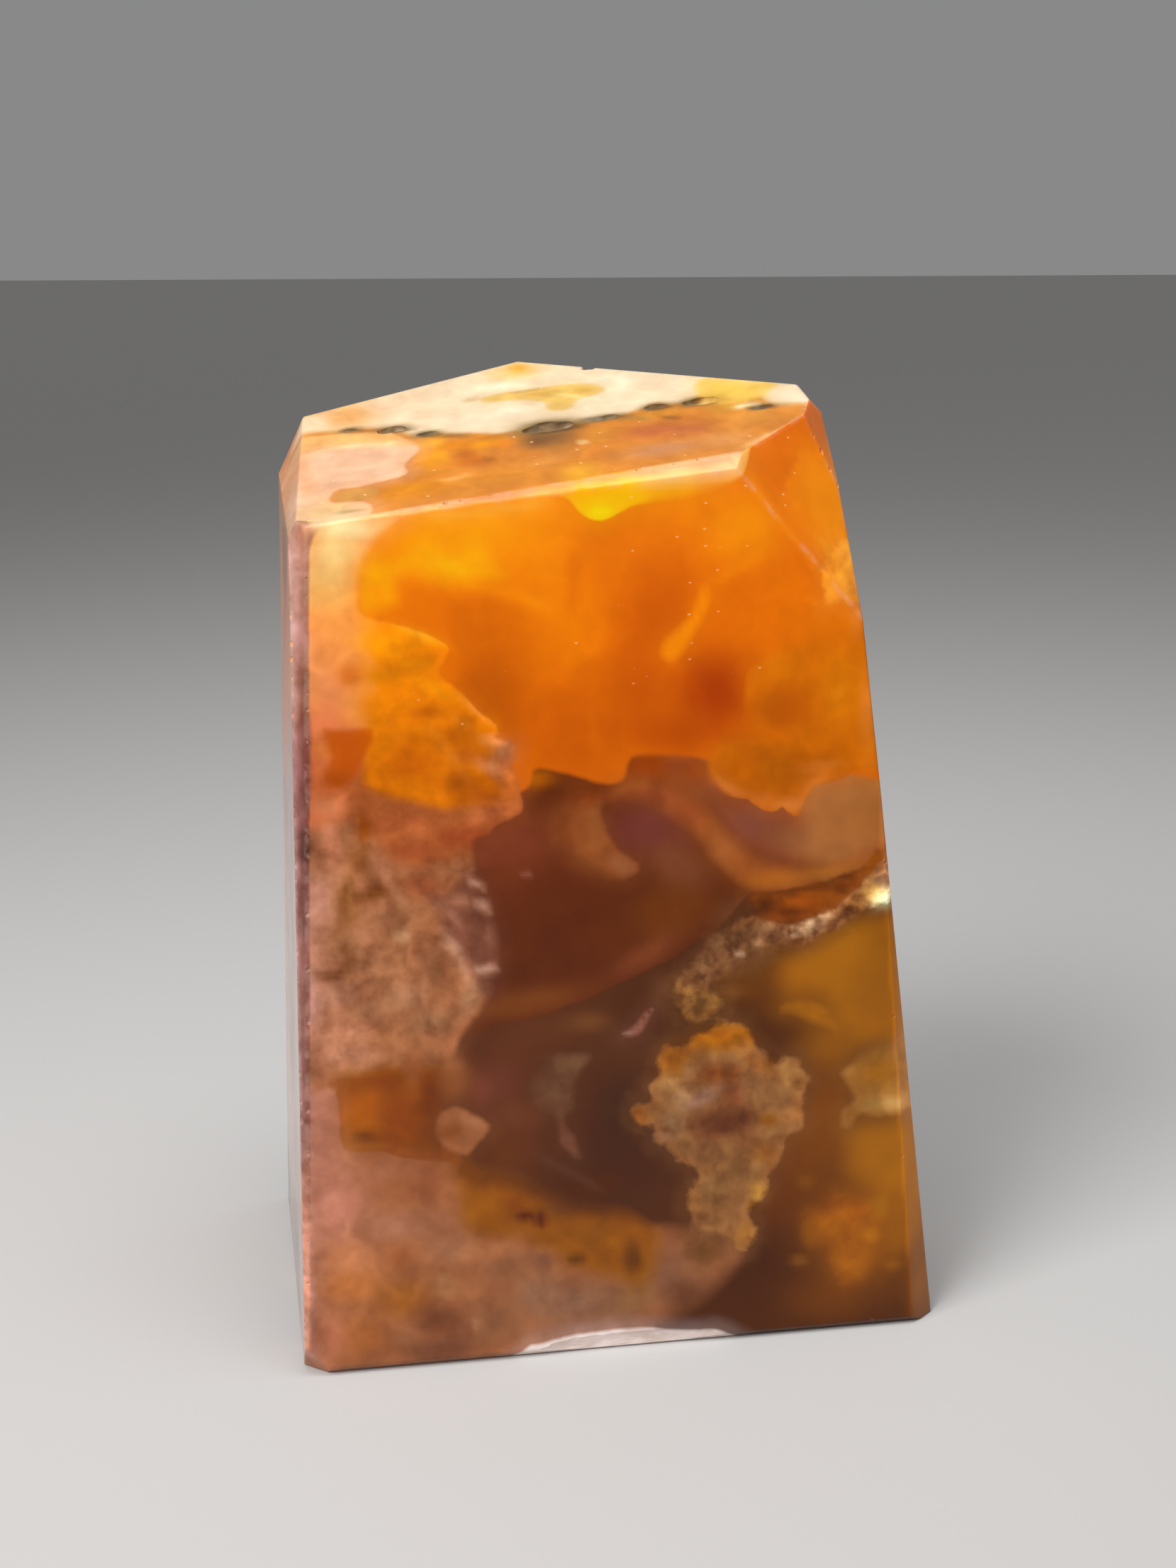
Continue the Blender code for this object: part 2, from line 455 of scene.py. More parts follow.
# %% Every point of the surface, and how deep it lies under each ground face
def places_of(piece):
    """All points of a piece, one row each, in millimetres on the stone."""
    rows = np.empty(len(piece.data.vertices) * 3)
    piece.data.vertices.foreach_get("co", rows)
    return rows.reshape(-1, 3) / MM - np.array(FRONT_FOOT)


SPOTS = places_of(stone)
RIGHT, BACK, UP = SPOTS.T


def depth_under(name):
    """How deep every point lies under the plane of one ground face."""
    lie, through = GROUND_FACES[name]
    return (np.array(through) - SPOTS) @ np.array(outward(lie))


DEPTHS = {name: depth_under(name) for name in GROUND_FACES}
DEPTHS["back"] = np.minimum(DEPTHS["back left"], DEPTHS["back right"])
DEPTHS["front side"] = np.minimum.reduce([DEPTHS[name] for name in
                                          ("front", "right shoulder", "right corner")])
print(len(SPOTS), "points, the deepest", round(DEPTHS["front"].max(), 1), "mm behind the front")

# %% The drawings: which way each is read, and where it has to give way to the top
FAR = 5.0


def share_with_top(name):
    """Positive nearer to this face than to the top, so that each drawing stops at the ridge."""
    depth = np.maximum(DEPTHS[name], 0)
    top = np.maximum(DEPTHS["top"], 0)
    return (0.5 - depth / (depth + top + 0.001)) * 6


DRAWINGS = {
    "front": (RIGHT, UP, DEPTHS["front"], share_with_top("front side")),
    "left": (BACK, UP, DEPTHS["left"], share_with_top("left")),
    "right": (BACK, UP, DEPTHS["right"], share_with_top("right")),
    "back": (RIGHT, UP, DEPTHS["back"], share_with_top("back")),
    "top": (RIGHT, BACK, DEPTHS["top"], -share_with_top("front side")),
    "ridge": (RIGHT, UP, DEPTHS["ridge band"], np.full(len(SPOTS), FAR)),
    "left band": (BACK - 0.07 * UP, UP, DEPTHS["left band"], np.full(len(SPOTS), FAR)),
}
print("drawings on:", ", ".join(DRAWINGS))

# %% Smooth outlines, and how far a point lies inside one
def smooth_outline(corners, steps=4, closed=True):
    """A smooth curve that passes through every corner."""
    corners = np.array(corners, float)
    before, after, beyond = (np.roll(corners, shift, axis=0) for shift in (1, -1, -2))
    if not closed:
        before[0], after[-1], beyond[-1], beyond[-2] = corners[0], *corners[[-1, -1, -1]]
    curve = []
    for t in np.arange(steps) / steps:
        curve.append(0.5 * (2 * corners + (after - before) * t
                            + (2 * before - 5 * corners + 4 * after - beyond) * t ** 2
                            + (3 * corners - before - 3 * after + beyond) * t ** 3))
    curve = np.stack(curve, axis=1).reshape(-1, 2)
    return curve if closed else curve[:len(curve) - steps + 1]


def reach_inside(outline, across, up):
    """How far each point lies inside a closed outline, in millimetres; negative outside."""
    nearest = np.full(len(across), FAR * FAR)
    inside = np.zeros(len(across), bool)
    for (x0, y0), (x1, y1) in zip(outline, np.roll(outline, -1, axis=0)):
        step_x, step_y = x1 - x0, y1 - y0
        length = step_x * step_x + step_y * step_y + 1e-12
        along = np.clip(((across - x0) * step_x + (up - y0) * step_y) / length, 0, 1)
        gap = (x0 + along * step_x - across) ** 2 + (y0 + along * step_y - up) ** 2
        nearest = np.minimum(nearest, gap)
        if y0 != y1:
            crossing = (y0 > up) != (y1 > up)
            inside ^= crossing & (across < x0 + (up - y0) * step_x / step_y)
    distance = np.sqrt(nearest)
    return np.where(inside, distance, -distance)


round_spot = smooth_outline([(1, 0), (0, 1), (-1, 0), (0, -1)])
print("an outline with 4 corners is drawn with", len(round_spot), "points")


# %% [markdown]
# ## Layers of paint
# The marks are laid on five layers, one over the other, as in a painting: the glassy body, the
# brown and orange glass, the plumes, and the small things on top. For each layer every point
# keeps a tint, how far it is inside the nearest mark, and what that mark's edge is like. The
# distance is what makes an edge crisp: it changes evenly from point to point, so the material
# can find the exact line between two points, and can fray it.

# %% Layers, marks and touches
BODY, GLASS, GLOW, PLUMES, DETAILS = range(5)
MARKED = (GLASS, GLOW, PLUMES, DETAILS)
zones = {layer: [] for layer in MARKED}
blurs = {layer: [] for layer in MARKED}
touches = {layer: [] for layer in (BODY, *MARKED)}
strokes = []


def zone(layer, tint, outline, soft=0.3, ragged=0.12, grain=0.3, deep=7, face="front",
         sharp=False):
    """Marks one growth: an outline with its tint and the softness and fraying of its edge."""
    outline = np.array(outline, float) if sharp else smooth_outline(outline)
    zones[layer].append((tint, outline, (soft, ragged, grain), deep, face))


def depth_fade(face):
    """Full on the face itself and fading below it: a touch on a narrow band stays on the band."""
    reach = 0.5 if face in ("ridge", "left band") else 6
    depth, limit = DRAWINGS[face][2:]
    return np.clip(1.2 - np.maximum(depth, 0) / reach, 0, 1) * (limit > -0.6)


def soft_spot(middle, radii, turn, face):
    """A cover that fades out smoothly round one place on a drawing."""
    across, up = DRAWINGS[face][:2]
    step_x, step_y = across - middle[0], up - middle[1]
    angle = radians(turn)
    along = (step_x * cos(angle) + step_y * sin(angle)) / radii[0]
    beside = (step_y * cos(angle) - step_x * sin(angle)) / radii[1]
    return np.exp(-(along ** 2 + beside ** 2) ** 1.3) * depth_fade(face)


def soft_patch(outline, soft, face):
    """A cover that is full inside an outline and fades out across it."""
    across, up = DRAWINGS[face][:2]
    low, high = outline.min(axis=0) - soft, outline.max(axis=0) + soft
    near = (across > low[0]) & (across < high[0]) & (up > low[1]) & (up < high[1])
    cover = np.zeros(len(SPOTS))
    share = np.clip(0.5 + reach_inside(outline, across[near], up[near]) / (2 * soft), 0, 1)
    cover[near] = share * share * (3 - 2 * share)
    return cover * depth_fade(face)


def touch_all(layer, marks, face="front"):
    """Tints parts of a layer softly: a tint, a place, how far, how strongly and how turned."""
    for tint, middle, radii, *rest in marks:
        strength, turn = rest + [0.9, 0][len(rest):]
        touches[layer].append((tint, strength, None, soft_spot, (middle, radii, turn, face)))


def patch(layer, tint, outline, soft=0.6, grain=None, strength=0.95, face="front"):
    """Tints a part of a layer inside an outline of its own, and may change its grain."""
    shape = (smooth_outline(outline), soft, face)
    touches[layer].append((tint, strength, grain, soft_patch, shape))


def blur(layer, middle, radii, amount, turn=0):
    """Softens a layer's edges on the front round one place, where a growth fades out."""
    blurs[layer].append((amount, middle, radii, turn))


def stroke_all(lines, face="front"):
    """Draws soft lines over all layers: a path through points, a tint, a width, a strength."""
    for path, tint, width, strength in lines:
        strokes.append((path, tint, width + 0.12, strength, face))


def tell(what):
    """Prints what was marked, and how many marks and touches there are by now."""
    counts = [sum(len(marks) for marks in kind.values()) for kind in (zones, touches)]
    print("%s: %d marks and %d touches by now" % (what, *counts))


tell("layers ready")

# %% [markdown]
# ## The front: orange glow over brown glass
# The upper part of the front is clear orange stone, coloured by iron, and it ends below in a
# line that wanders across. Under it lies brown glass, darker where it is deeper. The glow is one
# mark, the brown body has none, and both get touches, which have no edge at all.

# %% The orange glow
zone(GLOW, (222, 108, 0), [
    (-4, 44), (0, 45), (5, 46), (10, 45.5), (16.9, 46.4), (18, 48.1), (19.6, 47.95),
    (21.5, 47.4), (23.5, 46.75), (25, 47), (25.6, 48.7), (27, 49), (30.5, 48.6), (33, 48),
    (38, 47.3), (43, 47), (50, 46.6), (56, 60), (50, 84), (20, 88), (-8, 82), (-10, 60),
], soft=0.3, ragged=0.06, grain=0.1, deep=30)
touch_all(GLOW, (
    ((252, 152, 0), (13, 67), (12, 4)), ((240, 132, 0), (20, 62), (4.5, 6), 0.8),
    ((224, 112, 0), (11.5, 61), (5, 1.6), 0.9, -8), ((212, 102, 0), (14.5, 58), (4, 4), 0.9),
    ((184, 84, 0), (14.8, 54), (2.6, 3.6), 0.9), ((206, 92, 0), (21, 51), (4, 4), 0.8),
    ((226, 112, 0), (24, 65), (3, 5), 0.7), ((205, 90, 0), (28, 60), (3.6, 4), 0.8),
    ((200, 86, 0), (26.4, 54.5), (2.8, 4), 0.8), ((174, 62, 0), (32.4, 53.6), (3.2, 3.2), 0.95),
    ((190, 78, 0), (29.5, 50.5), (4.5, 1.8), 0.8), ((242, 140, 0), (34.6, 66.4), (4, 2.8), 0.9),
    ((226, 112, 0), (39, 61), (3, 4), 0.7), ((232, 126, 0), (30, 68), (4, 1.4), 0.7, 12),
    ((212, 96, 0), (40, 63.8), (0.9, 4.5), 0.8, 36),
    ((228, 112, 2), (38.4, 67.6), (1, 3), 0.8, 28),
    # The two touches on the next line, pale orange down the right front edge, are a painted
    # highlight along that edge.
    ((240, 138, 12), (42, 67.5), (1.4, 5), 0.9, 20), ((222, 128, 56), (43.8, 59), (0.8, 4), 0.8),
    ((205, 108, 0), (42, 56), (3, 4), 0.5),
))
tell("orange glow")

# %% The glassy body below it
touch_all(BODY, (
    ((98, 51, 30), (17, 22), (7, 8)), ((79, 43, 28), (25, 16), (5, 8)),
    ((106, 55, 28), (14.4, 17.6), (2.6, 2.4)), ((108, 55, 38), (14.8, 23), (2, 2)),
    ((110, 60, 36), (16.4, 20.2), (1.8, 1.4)), ((88, 44, 22), (22, 13.8), (2.6, 1.4)),
    ((74, 42, 28), (24.4, 20.5), (1.6, 3)), ((90, 50, 30), (26, 25.4), (3, 2.6)),
    ((100, 54, 30), (19, 27), (4, 1.4), 0.8, 10), ((76, 39, 22), (35, 4), (6, 4)),
    ((112, 57, 12), (38.6, 11.5), (3, 3)), ((118, 62, 12), (39.6, 16), (3, 3)),
    ((131, 71, 6), (41.6, 18), (2.8, 6)), ((146, 86, 0), (42, 24.4), (2.8, 2)),
    ((106, 57, 14), (35.6, 30.4), (3.2, 2.6)), ((130, 72, 4), (39.4, 30.5), (2.8, 4)),
    ((156, 96, 0), (43.6, 31.4), (3, 4)), ((150, 90, 2), (45, 26.4), (2.8, 2)),
    ((168, 100, 44), (47.9, 29.5), (1.3, 6.5)), ((145, 90, 18), (46.4, 15), (3, 2.6)),
    ((152, 97, 26), (47.4, 12.6), (1.4, 1.2)), ((150, 85, 2), (45, 7.5), (5, 5)),
    ((173, 100, 0), (43.8, 8.8), (1.8, 2.2)), ((166, 112, 32), (46.4, 10), (0.7, 1.1)),
    ((180, 112, 18), (45.3, 7.6), (0.9, 0.6)), ((164, 95, 14), (44.5, 4.6), (0.9, 1.2)),
    ((155, 92, 28), (47.6, 4.8), (0.8, 0.5)), ((138, 80, 28), (40.3, 8.2), (0.8, 1.3), 0.7),
    ((140, 84, 34), (39.5, 5.9), (0.8, 0.5)), ((138, 80, 28), (40, 12.7), (0.8, 0.7)),
    ((112, 60, 16), (42, 2.6), (4, 2.2)), ((132, 76, 16), (50.2, 4), (1.6, 5)),
    ((172, 108, 60), (48.6, 29), (1.6, 8)), ((178, 112, 62), (49.4, 22), (1.6, 7)),
    ((146, 86, 18), (50.8, 12), (1.4, 6)), ((132, 76, 14), (51.6, 4), (1.4, 5)),
    ((152, 88, 48), (11, 23.6), (1.7, 2), 0.85), ((164, 100, 62), (11, 24.7), (0.9, 0.6), 0.7),
    ((126, 64, 46), (13.3, 22.5), (0.9, 1.3), 0.7),
    ((98, 58, 42), (19.4, 15.6), (2.4, 0.4), 0.8, -34),
    ((98, 58, 42), (21.8, 14.2), (1.6, 0.35), 0.8, -38),
    ((118, 72, 36), (22, 27.6), (1.8, 0.8), 0.8),
    ((122, 70, 30), (34, 29.4), (1.3, 0.5), 0.8), ((110, 68, 36), (35.6, 31.6), (2.4, 1), 0.8, 22),
    ((104, 60, 26), (39.4, 32.4), (2.4, 0.7), 0.8, 8),
    ((108, 66, 40), (28, 29.6), (1.2, 1.6), 0.7),
))
tell("glassy body")

# %% Amber light in the body, near the right edge
patch(BODY, (174, 104, 0), [
    (38, 31.4), (42, 33.4), (46, 35), (48, 34), (48, 26), (46, 24.4), (43.4, 25.4), (41, 28.6),
    (38.6, 28.8),
], 1.4, strength=0.8)
patch(BODY, (176, 106, 2), [(44, 17), (48, 17.4), (50.6, 16), (50.6, 8), (47.4, 6), (46.4, 10),
                           (43.6, 13)], 1.5, strength=0.7)
tell("amber light")

# %% Brown and amber glass above the lower boundary
zone(GLASS, (97, 44, 21), [
    (12.5, 27.2), (14.5, 27.8), (17, 28.1), (19, 28.5), (20.2, 29), (22, 29.5), (24, 30.4),
    (26, 31.2), (27.5, 31.9), (29, 32.4), (30, 33.2), (31, 33.8), (32, 34.4), (33.5, 35.5),
    (35.5, 37.6), (40, 38.6), (46, 40), (52, 42), (54, 50), (30, 52), (-4, 52), (-8, 36),
    (-3, 27), (4, 26.6),
], soft=0.16, ragged=0.05, grain=0.15, deep=9)
touch_all(GLASS, (
    ((122, 56, 30), (16, 41), (7, 4.5)), ((97, 43, 21), (20.5, 36.4), (5.5, 4.6)),
    ((128, 68, 28), (17, 29.5), (5, 1.2), 0.9, 7),
    ((130, 66, 36), (27, 33.1), (3.6, 1.1), 0.9, 30),
    ((118, 60, 20), (28.6, 36.4), (3.4, 2.2), 0.8, 20),
    ((104, 48, 20), (24, 34.4), (3, 1.6), 0.6, 20),
    ((112, 68, 38), (33.8, 36.2), (2.2, 1), 0.7, 30),
    ((128, 60, 38), (15.6, 42.6), (4, 2), 0.8), ((190, 102, 12), (18, 47.4), (1.6, 0.8), 0.8),
    ((124, 60, 52), (27, 43), (3.6, 2.4)), ((134, 76, 46), (29.4, 40), (2.8, 1.8), 0.8, -30),
    ((168, 66, 14), (27.4, 47.8), (3, 1.2), 0.9),
))
patch(GLASS, (140, 72, 46), [
    (28.6, 49.6), (29, 47), (31.6, 44.6), (34, 41.6), (36.4, 40), (39, 39.8), (40.4, 41.6),
    (40, 44), (38, 44.6), (34.6, 46), (33, 49.6),
], 1.2)
patch(GLASS, (192, 122, 66), [
    (39.6, 46.8), (39, 44.6), (39.6, 42.6), (39, 40.6), (42, 39), (47, 40), (49, 44), (47, 48),
    (43, 48),
], 1.6)
touch_all(GLASS, (
    ((134, 74, 56), (35.4, 43), (2, 1.4)), ((152, 92, 54), (38.4, 41.6), (1.8, 1.2)),
    ((184, 118, 62), (44.6, 44.6), (1.8, 2)), ((184, 114, 50), (45.2, 46.6), (1.4, 1.2)),
    ((152, 68, 26), (30.4, 47.4), (1.6, 1.2)), ((168, 104, 56), (43, 40.6), (2.6, 1)),
))

tell("brown and amber glass")

# %% The salmon lower left, the pinkish foot and the amber veil between them
zone(GLASS, (160, 98, 62), [
    (-3, 26.4), (3.4, 26), (3.4, 21), (3.6, 19.4), (5.4, 18.8), (8.4, 18.2), (11.6, 17.4),
    (12.2, 16.6), (14, 15.8), (16, 15), (17.5, 13.8), (19.5, 12.4), (22, 11.8), (25, 11.5),
    (26.8, 10), (29, 9.6), (32, 8.8), (34.5, 7), (33.3, 5.5), (31.5, 4), (29.5, 2.8),
    (28, 1.8), (27, 1), (26, -3), (-3, -3),
], soft=0.4, ragged=0.1, grain=0.5, deep=6)
blur(GLASS, (30, 4), (6, 6), 1.2)
blur(GLASS, (20, 12.6), (7, 2), 0.9, -28)
touch_all(GLASS, (
    ((194, 126, 102), (0.4, 21), (2.6, 7)), ((204, 132, 108), (1, 13.4), (3.4, 4)),
    ((158, 92, 56), (8.6, 15), (3.6, 1.8)), ((166, 102, 72), (5.4, 16.5), (2.6, 0.9), 0.8),
    ((176, 116, 86), (6.6, 11.6), (4, 1.3)), ((168, 112, 80), (10.6, 9.4), (2, 1.2)),
    ((200, 126, 82), (2.4, 9.2), (2.4, 1.8)), ((195, 116, 60), (2.6, 6.8), (2.6, 1.4)),
    ((160, 92, 52), (6.4, 9), (1.5, 1.1)), ((154, 88, 34), (6.6, 5.4), (2.2, 1.7)),
    ((168, 97, 48), (3, 2.6), (2.4, 1.6)), ((192, 117, 84), (0.8, 3), (1.4, 2.6)),
    ((172, 112, 74), (6.8, 2.3), (1.2, 0.9)), ((112, 62, 38), (9.8, 3.2), (2.2, 1.6)),
    ((112, 66, 46), (9.6, 0.8), (3, 1.2)), ((178, 122, 80), (10, 6.3), (1, 1.1)),
    ((140, 88, 58), (15, 7.6), (2.4, 1.6)), ((138, 88, 58), (13.8, 3), (2.6, 2)),
    ((152, 106, 78), (17.6, 5), (2, 1.7)), ((134, 84, 60), (18, 7.7), (1, 0.7)),
    ((140, 98, 74), (21, 3.6), (3.4, 2)), ((136, 92, 62), (24.4, 3.4), (2, 1.8)),
    ((168, 112, 82), (12.5, 2.8), (0.45, 0.45)), ((128, 82, 58), (28, 5.6), (3, 2.6)),
    ((146, 98, 58), (26, 4), (1.5, 1.2)), ((102, 62, 30), (31.6, 7.6), (1.6, 1.6)),
    ((112, 68, 44), (30, 4), (1.8, 1.4), 0.7), ((146, 100, 80), (22, 1.6), (6, 0.7), 0.7),
))
tell("salmon and pinkish stone")

# %% The amber veil over the foot
patch(GLASS, (146, 80, 9), [
    (11.7, 16.6), (14, 15.8), (17, 14.6), (19.5, 13), (23, 12.4), (27, 12), (27.4, 9.5),
    (27, 6.5), (26, 5.2), (24.3, 5.9), (22, 7), (20, 7.8), (18.6, 9.3), (16.5, 10.2),
    (14, 10.3), (12.6, 11.4), (12, 13),
], 1.5, grain=0.4)
patch(GLASS, (108, 56, 18), [(11.4, 17.4), (16, 15.6), (19, 14), (22, 12.8), (27, 12.6), (27, 11),
                             (22, 11.2), (18.6, 12.6), (15.4, 14.2), (12, 14.6)], 1.1,
      strength=0.8)
touch_all(GLASS, (
    ((154, 87, 12), (13.5, 12.5), (1.8, 1.6)), ((136, 68, 2), (15.6, 12.8), (0.8, 0.8)),
    ((118, 66, 34), (19.2, 12), (1.6, 0.9)), ((142, 82, 10), (21.5, 9.8), (2.4, 1.2)),
    ((152, 87, 12), (23, 8), (1.8, 1.3)), ((84, 34, 6), (16.6, 11.7), (0.75, 0.45)),
    ((82, 30, 4), (17.9, 11.2), (0.5, 0.75)), ((96, 56, 10), (20.7, 7.6), (0.7, 0.45)),
    ((132, 72, 22), (18.4, 9.6), (1.6, 0.8)), ((168, 104, 66), (13.4, 9), (2, 1)),
    ((98, 54, 6), (25.4, 7.4), (0.8, 1.5)),
))

tell("amber veil")

# %% [markdown]
# ## The plumes
# Plumes are where the agate gets its flowers: manganese and iron minerals grew into the silica
# gel in rounded lobes, each with a pale skin. So these marks have lobed outlines, crisp on the
# side that they grew towards, and more grain inside than the glass.

# %% The big plume on the left: one growth, from the pale column down to the crystal mass
zone(PLUMES, (160, 98, 62), [
    (-3, 71), (4, 69.6), (8.6, 68), (7, 66.9), (5.8, 65.4), (5.2, 64), (4.9, 62.4), (5, 60.7),
    (6.5, 60.1), (8.2, 59.6), (10, 58.9), (11.2, 58.3), (11.7, 57.9), (11.4, 57), (10.8, 56),
    (11.8, 55.1), (13, 53.8), (14, 52.7), (15, 52), (15.2, 51.3), (15, 50.8), (16, 50.6),
    (16.6, 50.1), (16.5, 49.2), (16.3, 48.3), (16.8, 47), (17.1, 45), (16.3, 44.4), (15, 43.8),
    (14.3, 43.1), (13.2, 42.7), (13.3, 41), (14, 39.4), (14.4, 37.4), (14.9, 35), (14.8, 32.4),
    (14.4, 30.4), (13.3, 28.8), (12, 27.2), (11.4, 26), (10.8, 25), (9.8, 25), (8.9, 24.2),
    (8.2, 23.2), (7.2, 23.8), (6.4, 24.2), (5, 24.2), (2, 24), (-3, 24), (-4, 36), (-4, 60),
], soft=0.16, ragged=0.12, grain=0.95, deep=5)
blur(PLUMES, (5.6, 65.4), (2.4, 4), 0.5)
blur(PLUMES, (15.6, 49.4), (1.6, 1.6), 0.3)
blur(PLUMES, (13.4, 34), (3.4, 9), 0.6)
blur(PLUMES, (8, 24.6), (5, 1.6), 0.5)
patch(PLUMES, (242, 152, 72), [
    (-3, 72), (9, 72), (10, 67), (8, 65.4), (7.4, 63), (7.6, 60.6), (7.4, 58), (7.6, 55.4),
    (7, 53), (5, 51.8), (0, 50.8), (-3, 50.6),
], 0.9, 0.3)
patch(PLUMES, (208, 108, 60), [(-3, 52), (4, 52), (6, 50), (6, 47.6), (4.4, 45.6), (1, 44.4),
                               (-3, 44.4)], 0.9, 0.4)
patch(PLUMES, (168, 88, 44), [
    (3.6, 48), (6, 49), (8.4, 49), (11, 49), (14, 49), (18, 48), (18, 43.6), (14, 42),
    (10.4, 41.2), (8.2, 41), (6.2, 42.4), (4.8, 44.2), (3.4, 45.6),
], 0.7, 0.8)
patch(PLUMES, (226, 120, 4), [
    (5.2, 61.6), (9, 61), (13, 59), (13, 55.6), (16.4, 52.4), (15, 50.2), (14, 48.6),
    (15.4, 46.6), (13.6, 45.9), (11, 45.5), (8.4, 46.2), (6.4, 46.8), (4.9, 47.8), (5.2, 50),
    (5.6, 52.6), (6, 55.2), (5.6, 58),
], 0.6, 0.5)
patch(PLUMES, (116, 66, 50), [
    (9.6, 38.4), (10.8, 37.2), (10.6, 35.4), (11.8, 34), (12.8, 32.2), (13.4, 30.4), (16, 30),
    (16, 41), (13, 40.6), (11.4, 38.8),
], 0.5, 0.8, 0.85)
tell("big plume's outline and main tints")

# %% The petals inside the big plume
touch_all(PLUMES, (
    ((255, 226, 168), (4.2, 67), (3, 1)), ((255, 206, 134), (3.2, 65.2), (2.4, 1.3)),
    ((255, 198, 118), (2.6, 63.4), (2.4, 1.3)), ((255, 180, 94), (2.2, 61.6), (2.4, 1.6)),
    ((242, 144, 36), (5.6, 59.4), (1.1, 1.4), 0.8), ((240, 142, 44), (5.2, 56.4), (0.9, 1.5), 0.8),
    ((230, 132, 40), (5.6, 53.6), (1, 1.4), 0.8), ((222, 122, 44), (5, 50.8), (0.8, 1.2), 0.7),
    ((246, 152, 72), (2.8, 60), (2.4, 1.4)), ((240, 148, 74), (2.6, 58), (2, 1.4)),
    ((226, 136, 82), (2.4, 55), (1.6, 2)), ((214, 112, 36), (4, 56), (0.9, 0.9)),
    ((230, 128, 80), (1.8, 52.6), (1.8, 1.4)), ((246, 148, 2), (8, 58.4), (3, 1)),
    ((238, 150, 84), (0.8, 57), (1.2, 3)), ((232, 140, 60), (2.6, 50.4), (1.6, 0.7), 0.7),
    ((255, 172, 34), (9.4, 59.1), (2.6, 0.5), 0.9, -24), ((206, 118, 2), (9.4, 56.6), (1.6, 0.7)),
    ((248, 152, 10), (7.2, 57.4), (1.2, 0.6), 0.9, -20), ((196, 112, 0), (6.6, 55.9), (1.4, 0.7)),
    ((228, 126, 0), (7, 53.6), (2, 1.4)), ((240, 144, 2), (10.8, 54.6), (2.4, 0.6), 0.9, -24),
    ((196, 98, 2), (9.4, 52.9), (1.6, 0.6)), ((246, 152, 52), (13.6, 53), (2, 0.4), 0.9, -42),
    ((206, 112, 30), (12.6, 51.8), (1.4, 0.6), 0.8, -40), ((184, 90, 6), (11.6, 50.8), (1.8, 0.9)),
    ((224, 124, 0), (6, 50.4), (1.2, 2)), ((206, 100, 2), (8.4, 49), (2, 1.2)),
    ((226, 124, 8), (8.6, 47.2), (2.4, 0.6), 0.8, -16), ((216, 136, 84), (14.9, 50.6), (1.2, 0.5)),
    ((192, 96, 26), (13, 49.4), (1.6, 0.8)), ((222, 140, 86), (14.8, 48.3), (1.5, 0.5), 0.9, -22),
    ((180, 88, 20), (12.4, 47.4), (1.8, 0.9)), ((198, 108, 44), (16, 46.6), (0.7, 1.6)),
    ((176, 84, 24), (14, 46.2), (1.8, 0.7)), ((200, 108, 60), (14.4, 44.6), (2.4, 0.5), 0.8, 22),
    ((206, 124, 82), (2, 46), (1.6, 0.8)), ((178, 92, 50), (8, 44.4), (2.4, 0.8)),
    ((156, 70, 36), (12.2, 43.2), (2, 0.8)), ((152, 72, 16), (4.7, 44), (0.6, 1.1)),
    ((196, 120, 84), (2.2, 43), (0.6, 1.8)), ((158, 76, 40), (8.4, 42.2), (2, 0.7)),
    ((196, 132, 106), (1, 38.6), (1.2, 2)), ((142, 80, 36), (4.2, 41.6), (1, 1.3)),
    ((152, 94, 42), (3.2, 38.4), (1, 1.4)), ((106, 52, 16), (5.2, 39), (2, 0.6), 0.9, 20),
    ((128, 72, 30), (2.9, 36.6), (1.6, 0.8), 0.9, 40), ((156, 100, 60), (2.8, 34.8), (1.4, 1)),
    ((202, 142, 126), (0.3, 30.5), (0.7, 3)), ((186, 126, 96), (2.2, 31), (1.6, 0.9)),
    ((196, 128, 92), (2.5, 28), (2.6, 1.6)), ((190, 126, 96), (3, 26), (2.4, 0.9)),
    ((172, 112, 74), (6, 33.4), (2.2, 1.6)), ((166, 112, 78), (7.4, 30.6), (2, 1.2)),
    ((176, 120, 84), (5, 29.6), (1.6, 0.6), 0.8), ((154, 104, 70), (9.4, 28.4), (2, 1)),
    ((160, 100, 62), (6.4, 27.2), (2.2, 0.7)), ((150, 78, 46), (9, 39.4), (1.8, 1)),
    ((190, 140, 100), (7.3, 35.5), (0.8, 0.6)), ((150, 94, 62), (9.6, 33), (1.2, 1.8)),
    ((174, 124, 88), (12.6, 30.2), (0.8, 1.4), 0.8, -20), ((146, 92, 60), (6.8, 37), (1.6, 1)),
    ((186, 128, 90), (7.2, 38.6), (0.4, 1.2), 0.7, 30), ((168, 108, 80), (11.8, 38), (1.2, 0.5)),
    ((190, 140, 116), (13.8, 37.6), (0.7, 0.5)), ((178, 128, 106), (14.2, 32.4), (0.9, 0.5)),
    ((168, 118, 92), (11.4, 34.6), (1.6, 0.35), 0.8, -52),
    ((150, 96, 72), (14.4, 35.4), (0.5, 1.6)),
))
tell("petals of the big plume")

